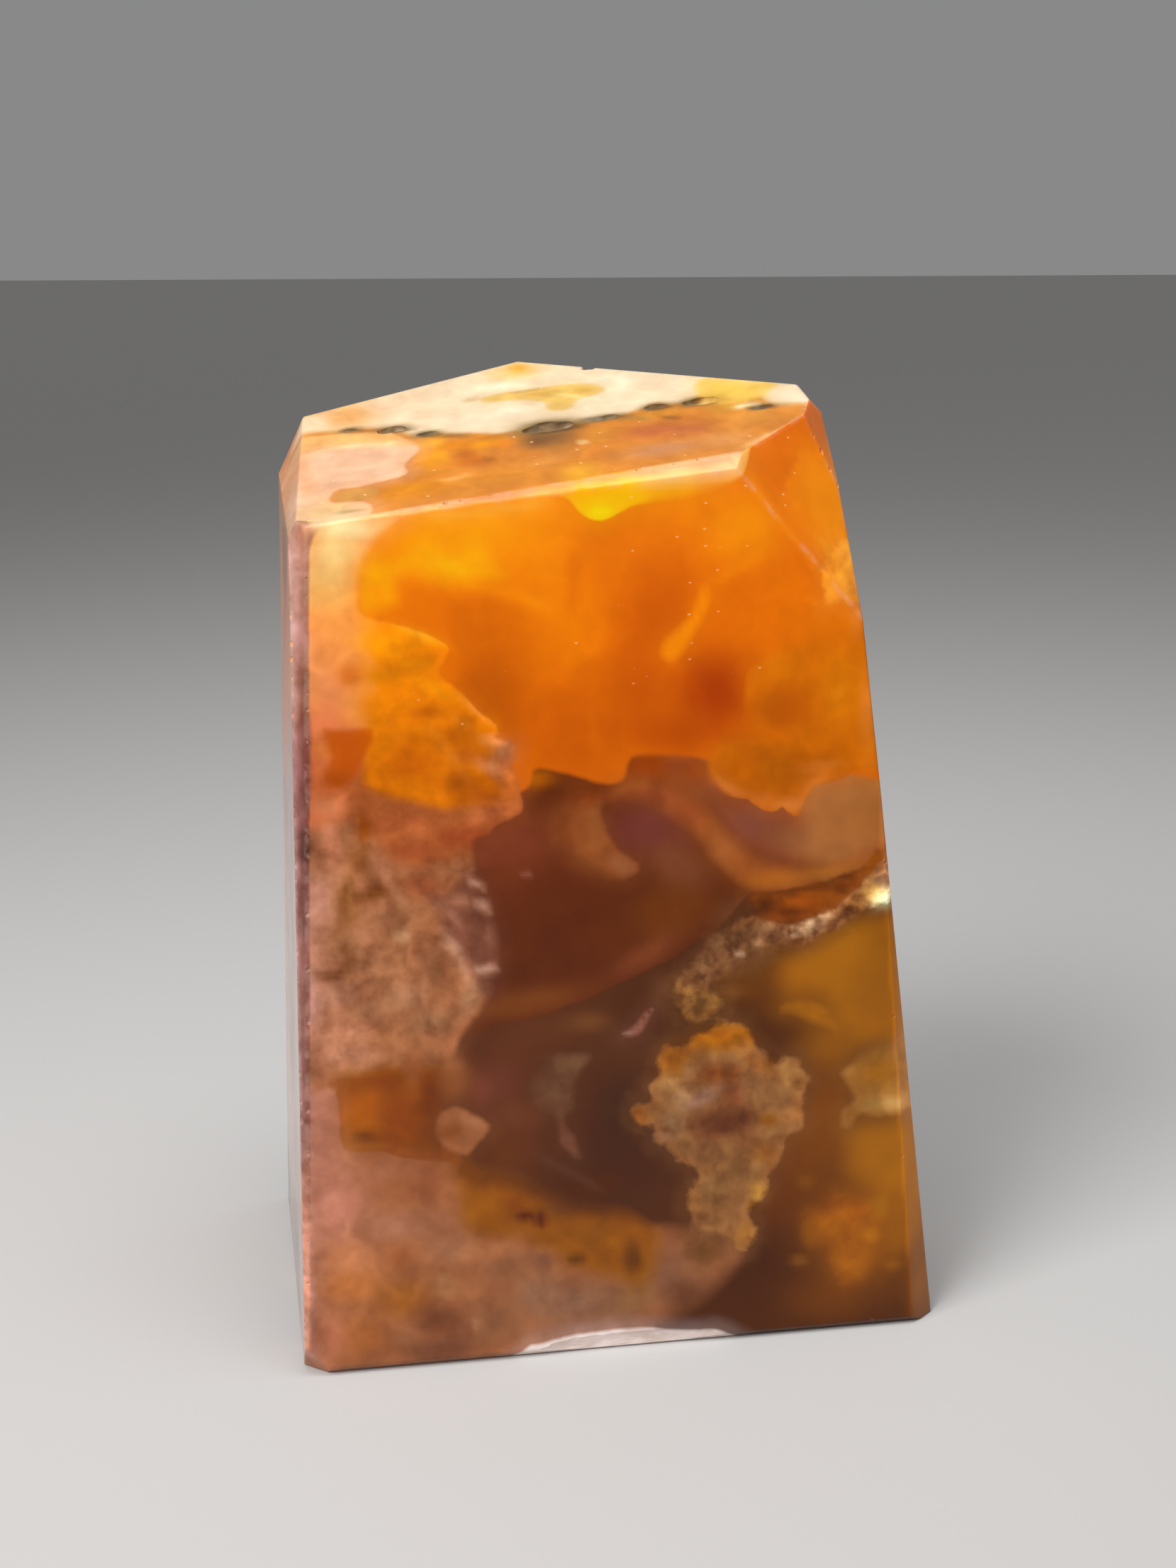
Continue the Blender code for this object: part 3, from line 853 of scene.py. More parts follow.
# %% Threads and dark gaps in it
stroke_all((
    (((5, 42.3), (6.3, 40.2), (6.8, 39.4)), (190, 125, 92), 0.3, 0.6),
    (((9.8, 38), (10.6, 37.3), (11.4, 36.8), (12, 36)), (176, 118, 88), 0.25, 0.6),
    (((10.4, 35), (11.2, 34.2), (12, 32.8), (12.6, 31.4)), (186, 136, 106), 0.25, 0.6),
    (((12.6, 39.6), (13.3, 39.4), (13.8, 38.9)), (210, 160, 134), 0.14, 0.8),
    (((13.2, 38), (13.8, 37.4), (14.3, 37)), (196, 146, 120), 0.2, 0.7),
    (((13, 32.6), (13.8, 32.3), (14.8, 32.5)), (190, 144, 120), 0.2, 0.7),
    (((17, 39.9), (17.3, 39.95), (17.6, 39.9)), (170, 110, 95), 0.1, 0.7),
    (((0.3, 32.8), (2, 32.6), (3, 33)), (100, 52, 28), 0.3, 0.8),
    (((2.6, 32.8), (3.2, 33.6), (3, 34.6), (2.2, 35.4)), (116, 66, 34), 0.6, 0.75),
    (((2, 44.5), (2.1, 43), (2.3, 41.5)), (198, 124, 90), 0.4, 0.6),
    (((3.6, 40.6), (3, 38.8), (3, 37)), (110, 58, 22), 0.3, 0.5),
))
tell("threads")

# %% An orange eye in the plume, and the brown growth under it
zone(DETAILS, (193, 84, 0), [
    (2.1, 51.9), (3.5, 51.8), (5.4, 51.9), (5.6, 51), (4.9, 49.6), (4.4, 48.4), (3.2, 47.4),
    (1.9, 47.6), (1.9, 48.6), (2.4, 49.8), (2.1, 50.8),
], soft=0.4, ragged=0.08, grain=0.1, deep=3)
touch_all(DETAILS, (((168, 74, 2), (2.9, 48), (1.2, 0.9)),))
zone(PLUMES, (138, 68, 0), [
    (2.1, 25.2), (4.5, 25.2), (6, 25.4), (7.5, 25), (8.2, 24.8), (9.5, 25), (10, 23.6),
    (10.2, 21), (10.8, 18.6), (11.6, 16.9), (11.4, 16.5), (9.5, 16.9), (7, 17.3), (5.5, 17.9),
    (4.5, 18), (3, 18.2), (2.2, 18.5), (2, 20), (2, 22),
], soft=0.2, ragged=0.15, grain=0.35, deep=2.5)
blur(PLUMES, (10.6, 21), (1.6, 3.4), 0.9)
touch_all(PLUMES, (
    ((186, 94, 0), (3.8, 21.6), (2, 2)), ((140, 66, 0), (6.8, 20.8), (1.6, 2.2)),
    ((154, 84, 44), (8, 24), (0.8, 1.8)), ((122, 56, 0), (9.2, 22.4), (0.8, 1.8)),
    ((116, 56, 6), (9.8, 18.6), (1.4, 1.4)), ((140, 66, 0), (5.4, 24), (1.1, 0.9)),
    ((176, 112, 74), (3, 25.2), (2.4, 0.7)), ((150, 90, 56), (9.4, 25.2), (1, 0.6)),
    ((106, 48, 5), (3.9, 19.3), (0.9, 0.5)), ((128, 66, 10), (8.6, 18.2), (1.8, 0.8)),
))

tell("big plume, all of it")

# %% A small lobe in the brown glass
zone(PLUMES, (150, 82, 40), [
    (19.6, 44.5), (20.4, 45.6), (22, 46.2), (23.7, 45.8), (23.2, 44.6), (23.6, 43.2), (24.2, 42.2),
    (25, 41.2), (26.3, 40.3), (26.2, 39.6), (25, 39), (23.8, 39.2), (22.5, 40), (21, 40.8),
    (20.2, 41.8), (19.6, 43),
], soft=0.4, ragged=0.15, grain=0.45, deep=3)
blur(PLUMES, (20.4, 43.4), (2, 3.6), 1.6)
blur(PLUMES, (22.4, 39.6), (2.4, 1), 0.8)
touch_all(PLUMES, (
    ((160, 92, 46), (22.8, 44), (0.8, 1.8)), ((164, 100, 62), (25, 40.2), (1.3, 0.7), 0.9, -36),
    ((140, 72, 34), (20.6, 43.6), (1.4, 2)), ((150, 66, 24), (22, 46), (2, 0.8)),
))
tell("small lobe")

# %% The long lobe that runs down to the crystal seam
zone(PLUMES, (168, 90, 40), [
    (24, 46), (25.5, 45.6), (27, 45), (28.5, 44.1), (29.5, 43.3), (30.5, 42.6), (31.4, 41.6),
    (31.8, 40.8), (32.4, 40), (33.5, 39), (34.6, 38), (35.6, 37.5), (38, 37.4), (41, 37.9),
    (44.5, 38.8), (48, 40.4), (47, 41.4), (44, 40), (42, 39.4), (40, 39.3), (38, 39.6),
    (36, 40.2), (34.5, 41.5), (33, 43), (31.5, 44.8), (30, 46.5), (26, 47.4),
], soft=0.9, ragged=0.08, grain=0.3, deep=5)
blur(PLUMES, (29, 46.4), (4, 1.8), 0.8)
blur(PLUMES, (39, 37.4), (4, 0.7), -0.6)
touch_all(PLUMES, (
    ((156, 76, 40), (27.4, 45.6), (2.4, 1)), ((170, 84, 44), (30.2, 44), (1.6, 1)),
    ((174, 98, 48), (33, 41), (1.4, 1.4)), ((182, 102, 32), (36.6, 38.4), (2.6, 0.8)),
    ((186, 112, 40), (41.4, 38.8), (3, 0.7), 0.8, 8),
))
tell("long lobe")

# %% The lobes under the orange glow, on the right
zone(PLUMES, (196, 100, 16), [
    (31.8, 48.5), (31.8, 47.3), (32.3, 46.4), (32.9, 45.8), (33.6, 45.3), (34.3, 45.1),
    (35, 45), (35.4, 44.6), (36, 44.2), (36.8, 43.9), (37.4, 43.9), (37.9, 44.3), (38.4, 43.6),
    (39.2, 43.5), (39.6, 44.4), (40, 45.2), (40.6, 45.9), (41.5, 46.1), (42.8, 46.4),
    (43.2, 47.4), (42.6, 49.2), (40, 50.2), (36, 50.4), (33, 49.8),
], soft=0.14, ragged=0.16, grain=0.35, deep=4)
blur(PLUMES, (36, 50.2), (5, 1), 1.2)
touch_all(PLUMES, (
    ((210, 118, 48), (33.4, 46), (1.8, 0.6), 0.9, -30), ((212, 122, 54), (38.6, 44.4), (1.8, 0.6)),
    ((210, 112, 36), (36, 45), (1.4, 0.6)), ((180, 92, 0), (37.4, 47.2), (1.5, 1.2)),
    ((200, 100, 8), (34.6, 47.4), (1.2, 1.2), 0.7),
    ((212, 116, 40), (40.4, 46), (1.4, 0.6), 0.8, 40),
))
zone(PLUMES, (208, 106, 2), [
    (34.9, 55.2), (36.4, 56.3), (39, 57.2), (42.5, 57.6), (46, 58), (50, 57), (50, 47.6),
    (45, 47.2), (43.5, 47.2), (41.5, 46.9), (40, 47.4), (38.5, 48), (37, 49.2), (35.6, 50.4),
    (34.8, 52), (34.7, 54),
], soft=0.22, ragged=0.08, grain=0.2, deep=5)
blur(PLUMES, (36.6, 51), (2.4, 2.4), 1.2)
blur(PLUMES, (42.6, 57), (4, 2), 1.4)
touch_all(PLUMES, (
    ((214, 114, 0), (37.4, 55.6), (2, 1.4)), ((188, 88, 0), (38, 52), (2.2, 2)),
    ((216, 120, 0), (42.6, 53.6), (2, 3)), ((206, 106, 0), (40.4, 49.4), (2.6, 1.2)),
    ((226, 128, 44), (44.8, 52), (0.9, 4)), ((212, 118, 38), (41, 47.4), (2.6, 0.5), 0.9, 6),
    ((190, 112, 46), (45.4, 46), (1.2, 1.6)), ((230, 140, 30), (42.3, 53.2), (0.7, 0.4), 0.7, 40),
))
tell("lobes under the glow")

# %% A pale lobe at the right edge
zone(PLUMES, (164, 108, 46), [
    (42.8, 21.8), (43.3, 22.4), (44, 22.8), (44.6, 23.4), (46, 23.9), (47.5, 24.1), (54, 24.4),
    (54, 18), (48.4, 18), (47, 17.8), (45.6, 17.9), (44.8, 18.2), (44.2, 17.8), (43.9, 17),
    (43.3, 16.9), (42.8, 17.6), (42.9, 18.6), (43.6, 19.2), (44, 19.8), (43.6, 20.4),
    (43.3, 21),
], soft=0.45, ragged=0.2, grain=0.55, deep=3)
blur(PLUMES, (46.6, 24), (3, 1.6), 1.0)
touch_all(PLUMES, (
    ((204, 154, 90), (47.4, 18.9), (1.6, 0.7)), ((170, 124, 62), (45.2, 19), (1, 0.7)),
    ((154, 94, 24), (46.2, 21.8), (1.6, 1.2)), ((178, 112, 50), (49.4, 21), (1.4, 2.4)),
    ((160, 106, 52), (43.4, 18.2), (0.6, 0.9)), ((176, 116, 56), (43.4, 22), (0.6, 0.6)),
))

tell("lobes in the middle and on the right")

# %% [markdown]
# ## The flower
# The big flower on the lower right is what this agate is named for: a bunch of petals on a short
# stem, cut through by the polished face, with brown eyes where the cut passes between petals.

# %% The big flower's outline, its petals and its two brown eyes
zone(PLUMES, (150, 100, 58), [
    (25.3, 19.8), (25.8, 20.6), (27, 20.7), (26.8, 21.8), (27.6, 22.9), (27.5, 24), (28.2, 25.2),
    (29.8, 25.3), (31, 25.9), (32, 26.2), (33.2, 26.8), (34.5, 26.6), (35.2, 25.8), (35.8, 24.8),
    (36.6, 24), (37.2, 23.2), (38.3, 23.7), (39.2, 23.6), (39.6, 22.6), (40.2, 21.8),
    (39.9, 20.8), (39.8, 20), (39.6, 19.2), (39.9, 18.3), (39.6, 17.2), (38.6, 16.7),
    (38.1, 15.8), (37.8, 14.6), (36.9, 13.6), (36.9, 12.6), (36.4, 11.7), (35.8, 11.2),
    (35.2, 10.6), (35.6, 9.6), (35.9, 8.8), (35.5, 7.8), (35, 7), (34.2, 7.1), (33.6, 7.8),
    (32.8, 8.6), (31.4, 9), (30.1, 9.4), (30.2, 10.6), (29.8, 11.6), (30, 12.6), (30.6, 13.4),
    (31, 14.3), (30, 14.9), (29.2, 15.4), (28.4, 16.6), (27.2, 16.9), (27, 17.8), (27.4, 18.5),
    (26.5, 18.5), (25.7, 18.9),
], soft=0.32, ragged=0.45, grain=0.9, deep=3)
blur(PLUMES, (31.4, 8), (2, 1.2), 0.7)
touch_all(PLUMES, (
    ((162, 92, 22), (29, 24), (1.7, 1.6)), ((172, 94, 4), (33, 25.6), (3.4, 1.1)),
    ((178, 116, 60), (26.2, 18.6), (0.7, 0.6)), ((174, 116, 66), (39.4, 20.4), (0.6, 1)),
    ((160, 95, 35), (26, 19.5), (0.9, 0.9)), ((182, 130, 76), (28.5, 22), (0.9, 0.7)),
    ((154, 104, 66), (30.3, 22.8), (0.7, 1.1)), ((172, 126, 86), (29.6, 20.6), (1, 0.8)),
    ((152, 112, 78), (28.8, 18.6), (1, 0.8)), ((142, 96, 66), (28, 17.6), (1, 0.7)),
    ((152, 108, 88), (31.4, 20.6), (2, 0.6), 0.9, 28), ((182, 112, 62), (34.3, 22.8), (0.5, 0.4)),
    ((186, 116, 56), (35.8, 23.2), (2, 0.6), 0.9, -40), ((142, 77, 46), (33.8, 20.6), (1, 1.1)),
    ((164, 112, 58), (38.8, 22), (1.1, 1.5)), ((112, 64, 12), (36.9, 23.3), (0.45, 0.7)),
    ((178, 114, 60), (38.8, 18.6), (0.9, 0.8)), ((132, 74, 18), (36.8, 18.3), (0.9, 0.6)),
    ((146, 86, 36), (36.5, 15.5), (1.3, 1)), ((142, 94, 56), (31.4, 15.6), (1.4, 1)),
    ((148, 101, 56), (33.6, 14), (1.5, 1.2)), ((192, 138, 58), (36, 12.3), (0.8, 0.9)),
    ((178, 120, 62), (30.6, 11.9), (0.7, 0.8)), ((152, 107, 62), (32, 12.6), (1.2, 0.9)),
    ((142, 92, 52), (33.6, 10.4), (1.6, 1.2)), ((174, 114, 50), (34.8, 8.6), (1, 1.1)),
    ((110, 64, 15), (35.5, 11), (0.5, 0.5)), ((136, 82, 44), (35, 16.6), (1, 0.8)),
))
patch(PLUMES, (112, 60, 34), [(30, 18.4), (30.8, 19.2), (32, 19.5), (33.5, 19.7), (35.2, 19.4),
                              (35.7, 18.4), (35, 17.4), (33.5, 16.9), (32, 16.8), (30.7, 17.3)],
      0.9, strength=0.85)
patch(PLUMES, (130, 68, 30), [(30.8, 22.4), (31.6, 23.2), (33, 23.3), (34.3, 22.6), (34, 21.9),
                              (33, 21.8), (31.6, 21.8)], 0.7)
tell("big flower")

# %% The shards beside the flower
zone(DETAILS, (110, 72, 48), [
    (19.5, 25), (21.9, 25), (22, 24.5), (21.4, 23.5), (20.8, 22.5), (20.7, 21.5), (20.6, 20.6),
    (19.8, 20.2), (18.5, 20.8), (17.8, 21.5), (17.6, 22.5), (18.2, 23.5),
], soft=0.5, ragged=0.3, grain=0.6, deep=1.5)
blur(DETAILS, (18.2, 22.4), (1.2, 2.2), 1.2)
zone(DETAILS, (118, 72, 50), [
    (19.6, 20), (20, 19), (20.7, 18.2), (21.1, 17), (21.3, 16.3), (20.8, 16.2), (20.2, 16.9),
    (19.5, 17.8),
], soft=0.4, ragged=0.1, grain=0.4, deep=1.5)
zone(DETAILS, (140, 86, 68), [
    (24.4, 26.2), (25.2, 26.6), (25.8, 27.2), (26.5, 28), (27.3, 28.4), (26.8, 27.4),
    (26.2, 26.4), (25.3, 26.1),
], soft=0.35, ragged=0.15, grain=0.5, deep=1.5)
zone(DETAILS, (152, 92, 56), [
    (9.8, 20.6), (10.4, 21.2), (11.2, 21.3), (12.2, 20.9), (13, 20.4), (13.7, 19.9), (13.9, 19.3),
    (13.5, 18.6), (12.8, 18.1), (12.4, 17.4), (11.8, 17.1), (11, 17.5), (10.1, 18.1), (9.7, 18.9),
    (9.5, 19.8),
], soft=0.3, ragged=0.25, grain=0.6, deep=2)
tell("shards")

# %% Dark gaps between the petals, and tints on the shards
for middle in ((27.3, 20.2), (27.4, 23.4), (29.4, 24.9), (34.4, 25.4), (37, 23.6), (39.2, 21.4),
               (39.3, 19.3), (38, 16.6), (37.2, 14.3), (28.2, 18.2), (30.8, 13), (31.2, 10.6)):
    touch_all(PLUMES, (((118, 70, 34), middle, (0.55, 0.45), 0.6),))
touch_all(DETAILS, (
    ((124, 84, 56), (21, 24.2), (0.8, 0.7)), ((166, 118, 104), (25, 26.5), (0.5, 0.4)),
    ((176, 116, 80), (12.6, 20), (1.2, 0.5), 0.9, -30), ((130, 70, 32), (10.8, 19.2), (1, 0.7)),
    ((110, 58, 36), (33, 18), (1.2, 0.6)),
))

tell("flower and shards")

# %% [markdown]
# ## The seam
# A band of fine crystals crosses the right of the front and comes out in the notch on the edge.
# It is the last gap that the water filled: a tan layer, a line of sparkling quartz, and amber.

# %% The amber layer of the seam
zone(DETAILS, (140, 68, 0), [
    (35.2, 37.4), (36.5, 37.4), (38, 37.5), (40, 37.9), (42, 38.3), (43.5, 38.7), (44.3, 38.9),
    (45, 39.8), (45.8, 40.6), (46.4, 40.6), (46.2, 39.8), (45.4, 38.8), (44.6, 37.8),
    (43.6, 36.8), (43, 36.4), (42, 35.6), (40.5, 35.2), (38.8, 34.7), (37.5, 34.9), (36, 35.3),
], soft=0.25, ragged=0.35, grain=0.7, deep=5)
touch_all(DETAILS, (
    ((162, 76, 0), (39.6, 36.5), (1.4, 0.6)), ((88, 44, 14), (36.3, 36.4), (1, 0.9)),
    ((92, 44, 8), (39, 37.6), (2.6, 0.3)), ((88, 42, 8), (43, 38.5), (1.8, 0.3), 0.9, 14),
    ((102, 48, 6), (38.4, 35.6), (1.2, 0.4)), ((150, 76, 8), (41.6, 36.6), (0.8, 0.5)),
    ((96, 50, 14), (45.6, 40.3), (0.7, 0.3), 0.9, 40),
    ((118, 58, 10), (43, 37.2), (0.8, 0.5)), ((152, 82, 8), (45.2, 39.6), (1.2, 0.6), 0.9, 40),
    ((104, 52, 12), (41.6, 37.8), (0.8, 0.4)), ((98, 48, 12), (38.6, 37.2), (0.8, 0.35)),
))
tell("amber layer")

# %% The crystal crescent under it, with its sparkles
zone(PLUMES, (126, 80, 48), [
    (29.2, 28.8), (29.4, 30.4), (30.3, 31.6), (31.2, 32.6), (32.2, 33.8), (33.5, 34.8),
    (35, 35.6), (36.5, 35.4), (38, 35), (40, 35.1), (41.5, 35.9), (43.5, 36.9), (46, 38),
    (50, 39.4), (50, 37.2), (45.6, 35.9), (44, 35), (42.5, 34), (41, 33.4), (39.8, 32.9),
    (38, 32.8), (36.5, 32.4), (35, 32), (34, 31.4), (32.8, 30.7), (31.8, 30), (31, 29.4),
], soft=0.35, ragged=0.5, grain=1.7, deep=6)
blur(PLUMES, (32, 32.6), (2.8, 2.2), 0.7)
blur(PLUMES, (37, 32.2), (2.6, 1), 0.5)
zone(PLUMES, (150, 104, 52), [
    (29.2, 30), (29.4, 28.6), (29.8, 27.4), (30.8, 26.8), (31.8, 27.3), (32.8, 28),
    (33.1, 28.7), (32.4, 29.3), (31.4, 29.8), (30.4, 30.2),
], soft=0.4, ragged=0.45, grain=1.3, deep=2)
touch_all(PLUMES, (
    ((112, 72, 42), (34.4, 34.4), (1.6, 0.9), 0.8, 30), ((118, 74, 42), (37.4, 33), (1.6, 0.5)),
    ((172, 116, 58), (44, 36.2), (1.1, 0.6)), ((186, 130, 82), (42, 35.3), (1.2, 0.6)),
    ((214, 172, 128), (41.4, 35.3), (0.6, 0.5)), ((226, 190, 150), (40.3, 34.5), (0.9, 0.55)),
    ((204, 160, 118), (39.5, 34.2), (0.9, 0.6)), ((226, 184, 148), (38.8, 34.1), (0.6, 0.5)),
    ((168, 118, 82), (37.5, 34.4), (0.9, 0.45)), ((156, 112, 78), (36.5, 34.6), (0.6, 0.4)),
    ((172, 124, 84), (35.7, 33.3), (0.6, 0.4)), ((190, 152, 122), (34.4, 32.4), (0.4, 0.3)),
    ((142, 98, 62), (32.5, 33.4), (0.9, 0.3), 0.9, 40), ((236, 176, 90), (45.4, 36.9), (0.9, 0.7)),
    ((255, 240, 176), (46.3, 36), (1.1, 1), 1.0), ((210, 150, 90), (44.5, 38.1), (0.6, 0.3)),
    ((204, 136, 90), (46.4, 38.8), (0.7, 1.1)), ((164, 112, 58), (30.2, 29.3), (0.8, 0.7)),
    ((148, 96, 44), (31.4, 27.8), (0.9, 0.5)), ((152, 104, 66), (31.6, 31.6), (0.7, 0.9), 0.8, 40),
))
tell("crystal crescent")

# %% Two faint amber growths below the seam
zone(PLUMES, (172, 104, 16), [
    (37.6, 27.6), (39, 28.4), (40.8, 28), (42, 27), (42.6, 25.6), (41.4, 25.8), (40.2, 26.4),
    (39, 27),
], soft=0.6, ragged=0.2, grain=0.4, deep=2)
zone(PLUMES, (168, 94, 2), [
    (40.2, 9.6), (41.6, 10.6), (42.6, 11.8), (44.4, 11), (46, 10.4), (46.6, 8.6), (45.8, 6.4),
    (44.8, 4.2), (43.4, 3.4), (42.4, 5), (42.2, 6.8), (40.8, 7.6),
], soft=1.0, ragged=0.5, grain=0.6, deep=3)
blur(PLUMES, (41, 9), (1.6, 3), 0.8)
touch_all(PLUMES, (
    ((196, 120, 28), (45.6, 7.6), (0.9, 0.6)), ((184, 106, 24), (44.4, 4.6), (0.8, 0.8)),
    ((150, 76, 2), (42, 10.4), (1.2, 0.8)), ((160, 84, 2), (44.2, 9.8), (0.8, 1.2)),
))

tell("faint growths")

# %% Details in the orange
zone(DETAILS, (254, 158, 0), [
    (5, 64.2), (6.2, 65), (7.5, 64.6), (9, 65.6), (10.2, 66), (12, 65.2), (13.4, 66),
    (14.3, 65.6), (15.2, 64.2), (15.7, 63.1), (13.6, 62.8), (11.8, 62.6), (10, 63.1), (9, 63.6),
    (7.7, 63.4), (7.6, 62.4), (7.6, 61.5), (6.3, 61), (5.1, 60.9), (4.9, 62.4),
], soft=1.1, ragged=0.3, grain=0.1, deep=3)
zone(DETAILS, (242, 138, 4), [
    (31.6, 62.2), (31.9, 61.2), (31.6, 60), (30.8, 58.6), (29.9, 57), (29, 56.2), (28.2, 56.6),
    (28.2, 57.6), (29.2, 58.6), (30.4, 59.6), (31, 61),
], soft=0.6, ragged=0.05, grain=0.1, deep=2)
zone(DETAILS, (255, 186, 0), [
    (21, 72), (21.2, 70), (21.4, 68.8), (22, 67.7), (23.4, 67.15), (24.8, 67.7), (26, 68.3),
    (28.4, 68.8), (31, 69.4), (34, 70.4), (34.5, 73), (28, 74), (23, 74),
], soft=0.16, ragged=0.04, grain=0.1, deep=3)
blur(DETAILS, (30, 69.2), (4, 1.2), 0.6)
touch_all(DETAILS, (
    ((236, 138, 0), (6.3, 62.3), (0.6, 0.7), 0.7),
    ((255, 176, 14), (12, 64), (1.6, 0.6), 0.6, -24),
    ((255, 220, 0), (23.4, 67.7), (1.2, 0.6)), ((248, 164, 22), (28.4, 69.6), (2.4, 0.9)),
    ((238, 152, 56), (32.4, 70.2), (2.4, 1.2)), ((255, 176, 0), (22.6, 69.6), (1.4, 0.8), 0.6),
))
tell("details in the orange")

# %% Veins in the orange, and the pale chip at the foot
stroke_all((
    (((20, 69), (18, 68.5), (15, 68.2), (12, 67.9), (8.4, 67.8)), (250, 176, 84), 0.35, 0.5),
    (((12.5, 62.7), (15, 62.1), (17.5, 61.4), (20, 60.2)), (250, 150, 8), 0.4, 0.4),
    (((21, 65), (21.3, 62.5), (20.8, 60)), (196, 84, 0), 0.5, 0.3),
    (((23.4, 60), (23.1, 58), (22.4, 57.2), (20, 56.4)), (236, 128, 12), 0.35, 0.35),
    (((22.8, 55.4), (22.6, 52), (22.9, 49)), (226, 112, 4), 0.3, 0.3),
    (((32, 62.2), (33.6, 63), (35.2, 63.8), (36.3, 64.9)), (244, 146, 14), 0.35, 0.35),
    (((34.7, 71), (36, 68.7), (38, 66.2), (40, 63.8), (42.4, 60.4)), (246, 150, 20), 0.3, 0.35),
    (((39.2, 70.6), (40, 68.8), (40.8, 66), (42, 63.6), (43.2, 61.6)), (250, 160, 30), 0.25, 0.5),
    (((9.5, 52.2), (11, 50.4), (13, 47.2)), (222, 130, 50), 0.35, 0.35),
    (((6.4, 56), (7.4, 58), (9.6, 58.2)), (206, 110, 0), 0.35, 0.35),
    (((25, 48.9), (27.4, 48.95), (30.6, 48.6)), (214, 100, 20), 0.18, 0.6),
))
zone(DETAILS, (240, 222, 216), [
    (16.6, 0.3), (18, 0.6), (20, 1), (23, 1.2), (26, 1.2), (27.4, 1), (29, 0.7), (31, 0.5),
    (33, 0.2), (34, -2), (16, -2),
], soft=0.25, ragged=0.08, grain=0.3, deep=1)
tell("the whole front")

# %% [markdown]
# ## The ridge, the top and the left side
# The top is cut across the growth, so it shows the same stone from its end: cream and pinkish
# layers behind, orange in front, and the seam as a row of pits between them.

# %% The narrow band on the ridge: the stone's own colours, painted paler as a painted highlight from the light above
zone(DETAILS, (236, 160, 72), [(-4, 60), (54, 60), (54, 80), (-4, 80)], soft=0.1, ragged=0.05,
     grain=0.2, deep=0.12, face="ridge", sharp=True)
# Pale touches along the band: the stone's colours with a painted highlight over them.
touch_all(DETAILS, (
    ((255, 222, 170), (3, 69), (4, 6), 0.95), ((246, 176, 104), (9.5, 69), (3, 6), 0.95),
    ((232, 140, 56), (16, 69), (4, 6), 0.95), ((255, 172, 0), (22.6, 69), (3, 6), 0.95),
    ((248, 190, 116), (29, 69), (3, 6), 0.95), ((240, 178, 120), (33.6, 69), (3, 6), 0.95),
), face="ridge")

tell("ridge band")

# %% The top: cream behind, orange in front
zone(GLASS, (254, 224, 184), [(-9, -9), (60, -9), (60, 45), (-9, 45)], soft=0.25, ragged=0.1,
     grain=0.25, deep=4, face="top", sharp=True)
patch(GLASS, (222, 134, 44), [
    (-6, -6), (58, -6), (58, 12.8), (41.5, 12.7), (39, 13.4), (38.3, 15.2), (36, 15.2),
    (34.5, 17), (33, 16.4), (31.5, 16), (30, 16.6), (28, 15.7), (25.5, 15.2), (23, 15.4),
    (21, 16.2), (19, 15.5), (17, 15.4), (15, 16.2), (12, 17), (10.5, 17.2), (8.5, 19.2),
    (5, 20), (-6, 20.2),
], 0.4, 0.35, 1.0, "top")
touch_all(GLASS, (
    ((254, 214, 172), (10, 22.5), (3, 3), 0.8), ((248, 176, 98), (5.6, 22.6), (2.2, 2.4)),
    ((252, 210, 168), (2, 22), (1.4, 1.6)), ((255, 182, 108), (4, 24.4), (4, 0.5), 0.8, 14),
    ((255, 206, 124), (20, 26.6), (2.4, 1.8)), ((255, 174, 52), (20.4, 27.2), (0.9, 1)),
    ((255, 242, 204), (17.6, 24.1), (2.8, 0.8)), ((255, 240, 202), (27.6, 21.6), (1.8, 2.6)),
    ((253, 234, 200), (18, 18.4), (6, 1.6), 0.6), ((254, 230, 192), (41.4, 14.8), (1.8, 2)),
    ((222, 138, 40), (16, 7.6), (5, 1.6)), ((224, 136, 12), (9.4, 8), (2.6, 1.3)),
    ((250, 160, 20), (11.6, 13.4), (1.6, 2.8)), ((255, 162, 6), (15.8, 14), (1.5, 0.8)),
    ((240, 130, 22), (17.6, 13.3), (0.9, 0.7)), ((216, 116, 26), (14.6, 11.2), (1.6, 0.8)),
    ((176, 102, 32), (15.8, 11.2), (0.5, 0.6)), ((232, 152, 70), (20.5, 9.6), (2.4, 0.9), 0.7, 20),
    ((144, 98, 52), (21, 13.4), (2.2, 2.2)), ((118, 80, 44), (19.6, 13.2), (1, 1), 0.7),
    ((190, 120, 50), (18.6, 12.8), (0.9, 0.7), 0.8), ((226, 146, 46), (25, 12.6), (1.4, 1.4)),
    ((200, 106, 54), (29, 11.8), (2.6, 1.4)), ((208, 116, 60), (32, 11), (1.8, 1.2)),
    ((250, 178, 40), (11.6, 15.4), (1.2, 0.8)), ((204, 108, 20), (14.2, 12.2), (1, 1.2)),
    ((236, 138, 10), (13.4, 14.4), (1.2, 0.8)), ((214, 150, 44), (35.4, 14), (1.6, 1), 0.8),
    ((216, 146, 96), (29, 8.4), (3.4, 1.3)), ((222, 146, 78), (34, 8.4), (2.4, 1.6)),
    ((230, 150, 58), (37, 11.6), (2.8, 2)), ((228, 150, 40), (30, 14.6), (2, 0.8)),
    ((252, 182, 40), (22.2, 6.2), (1.5, 2)),
), face="top")
tell("cream and orange of the top")
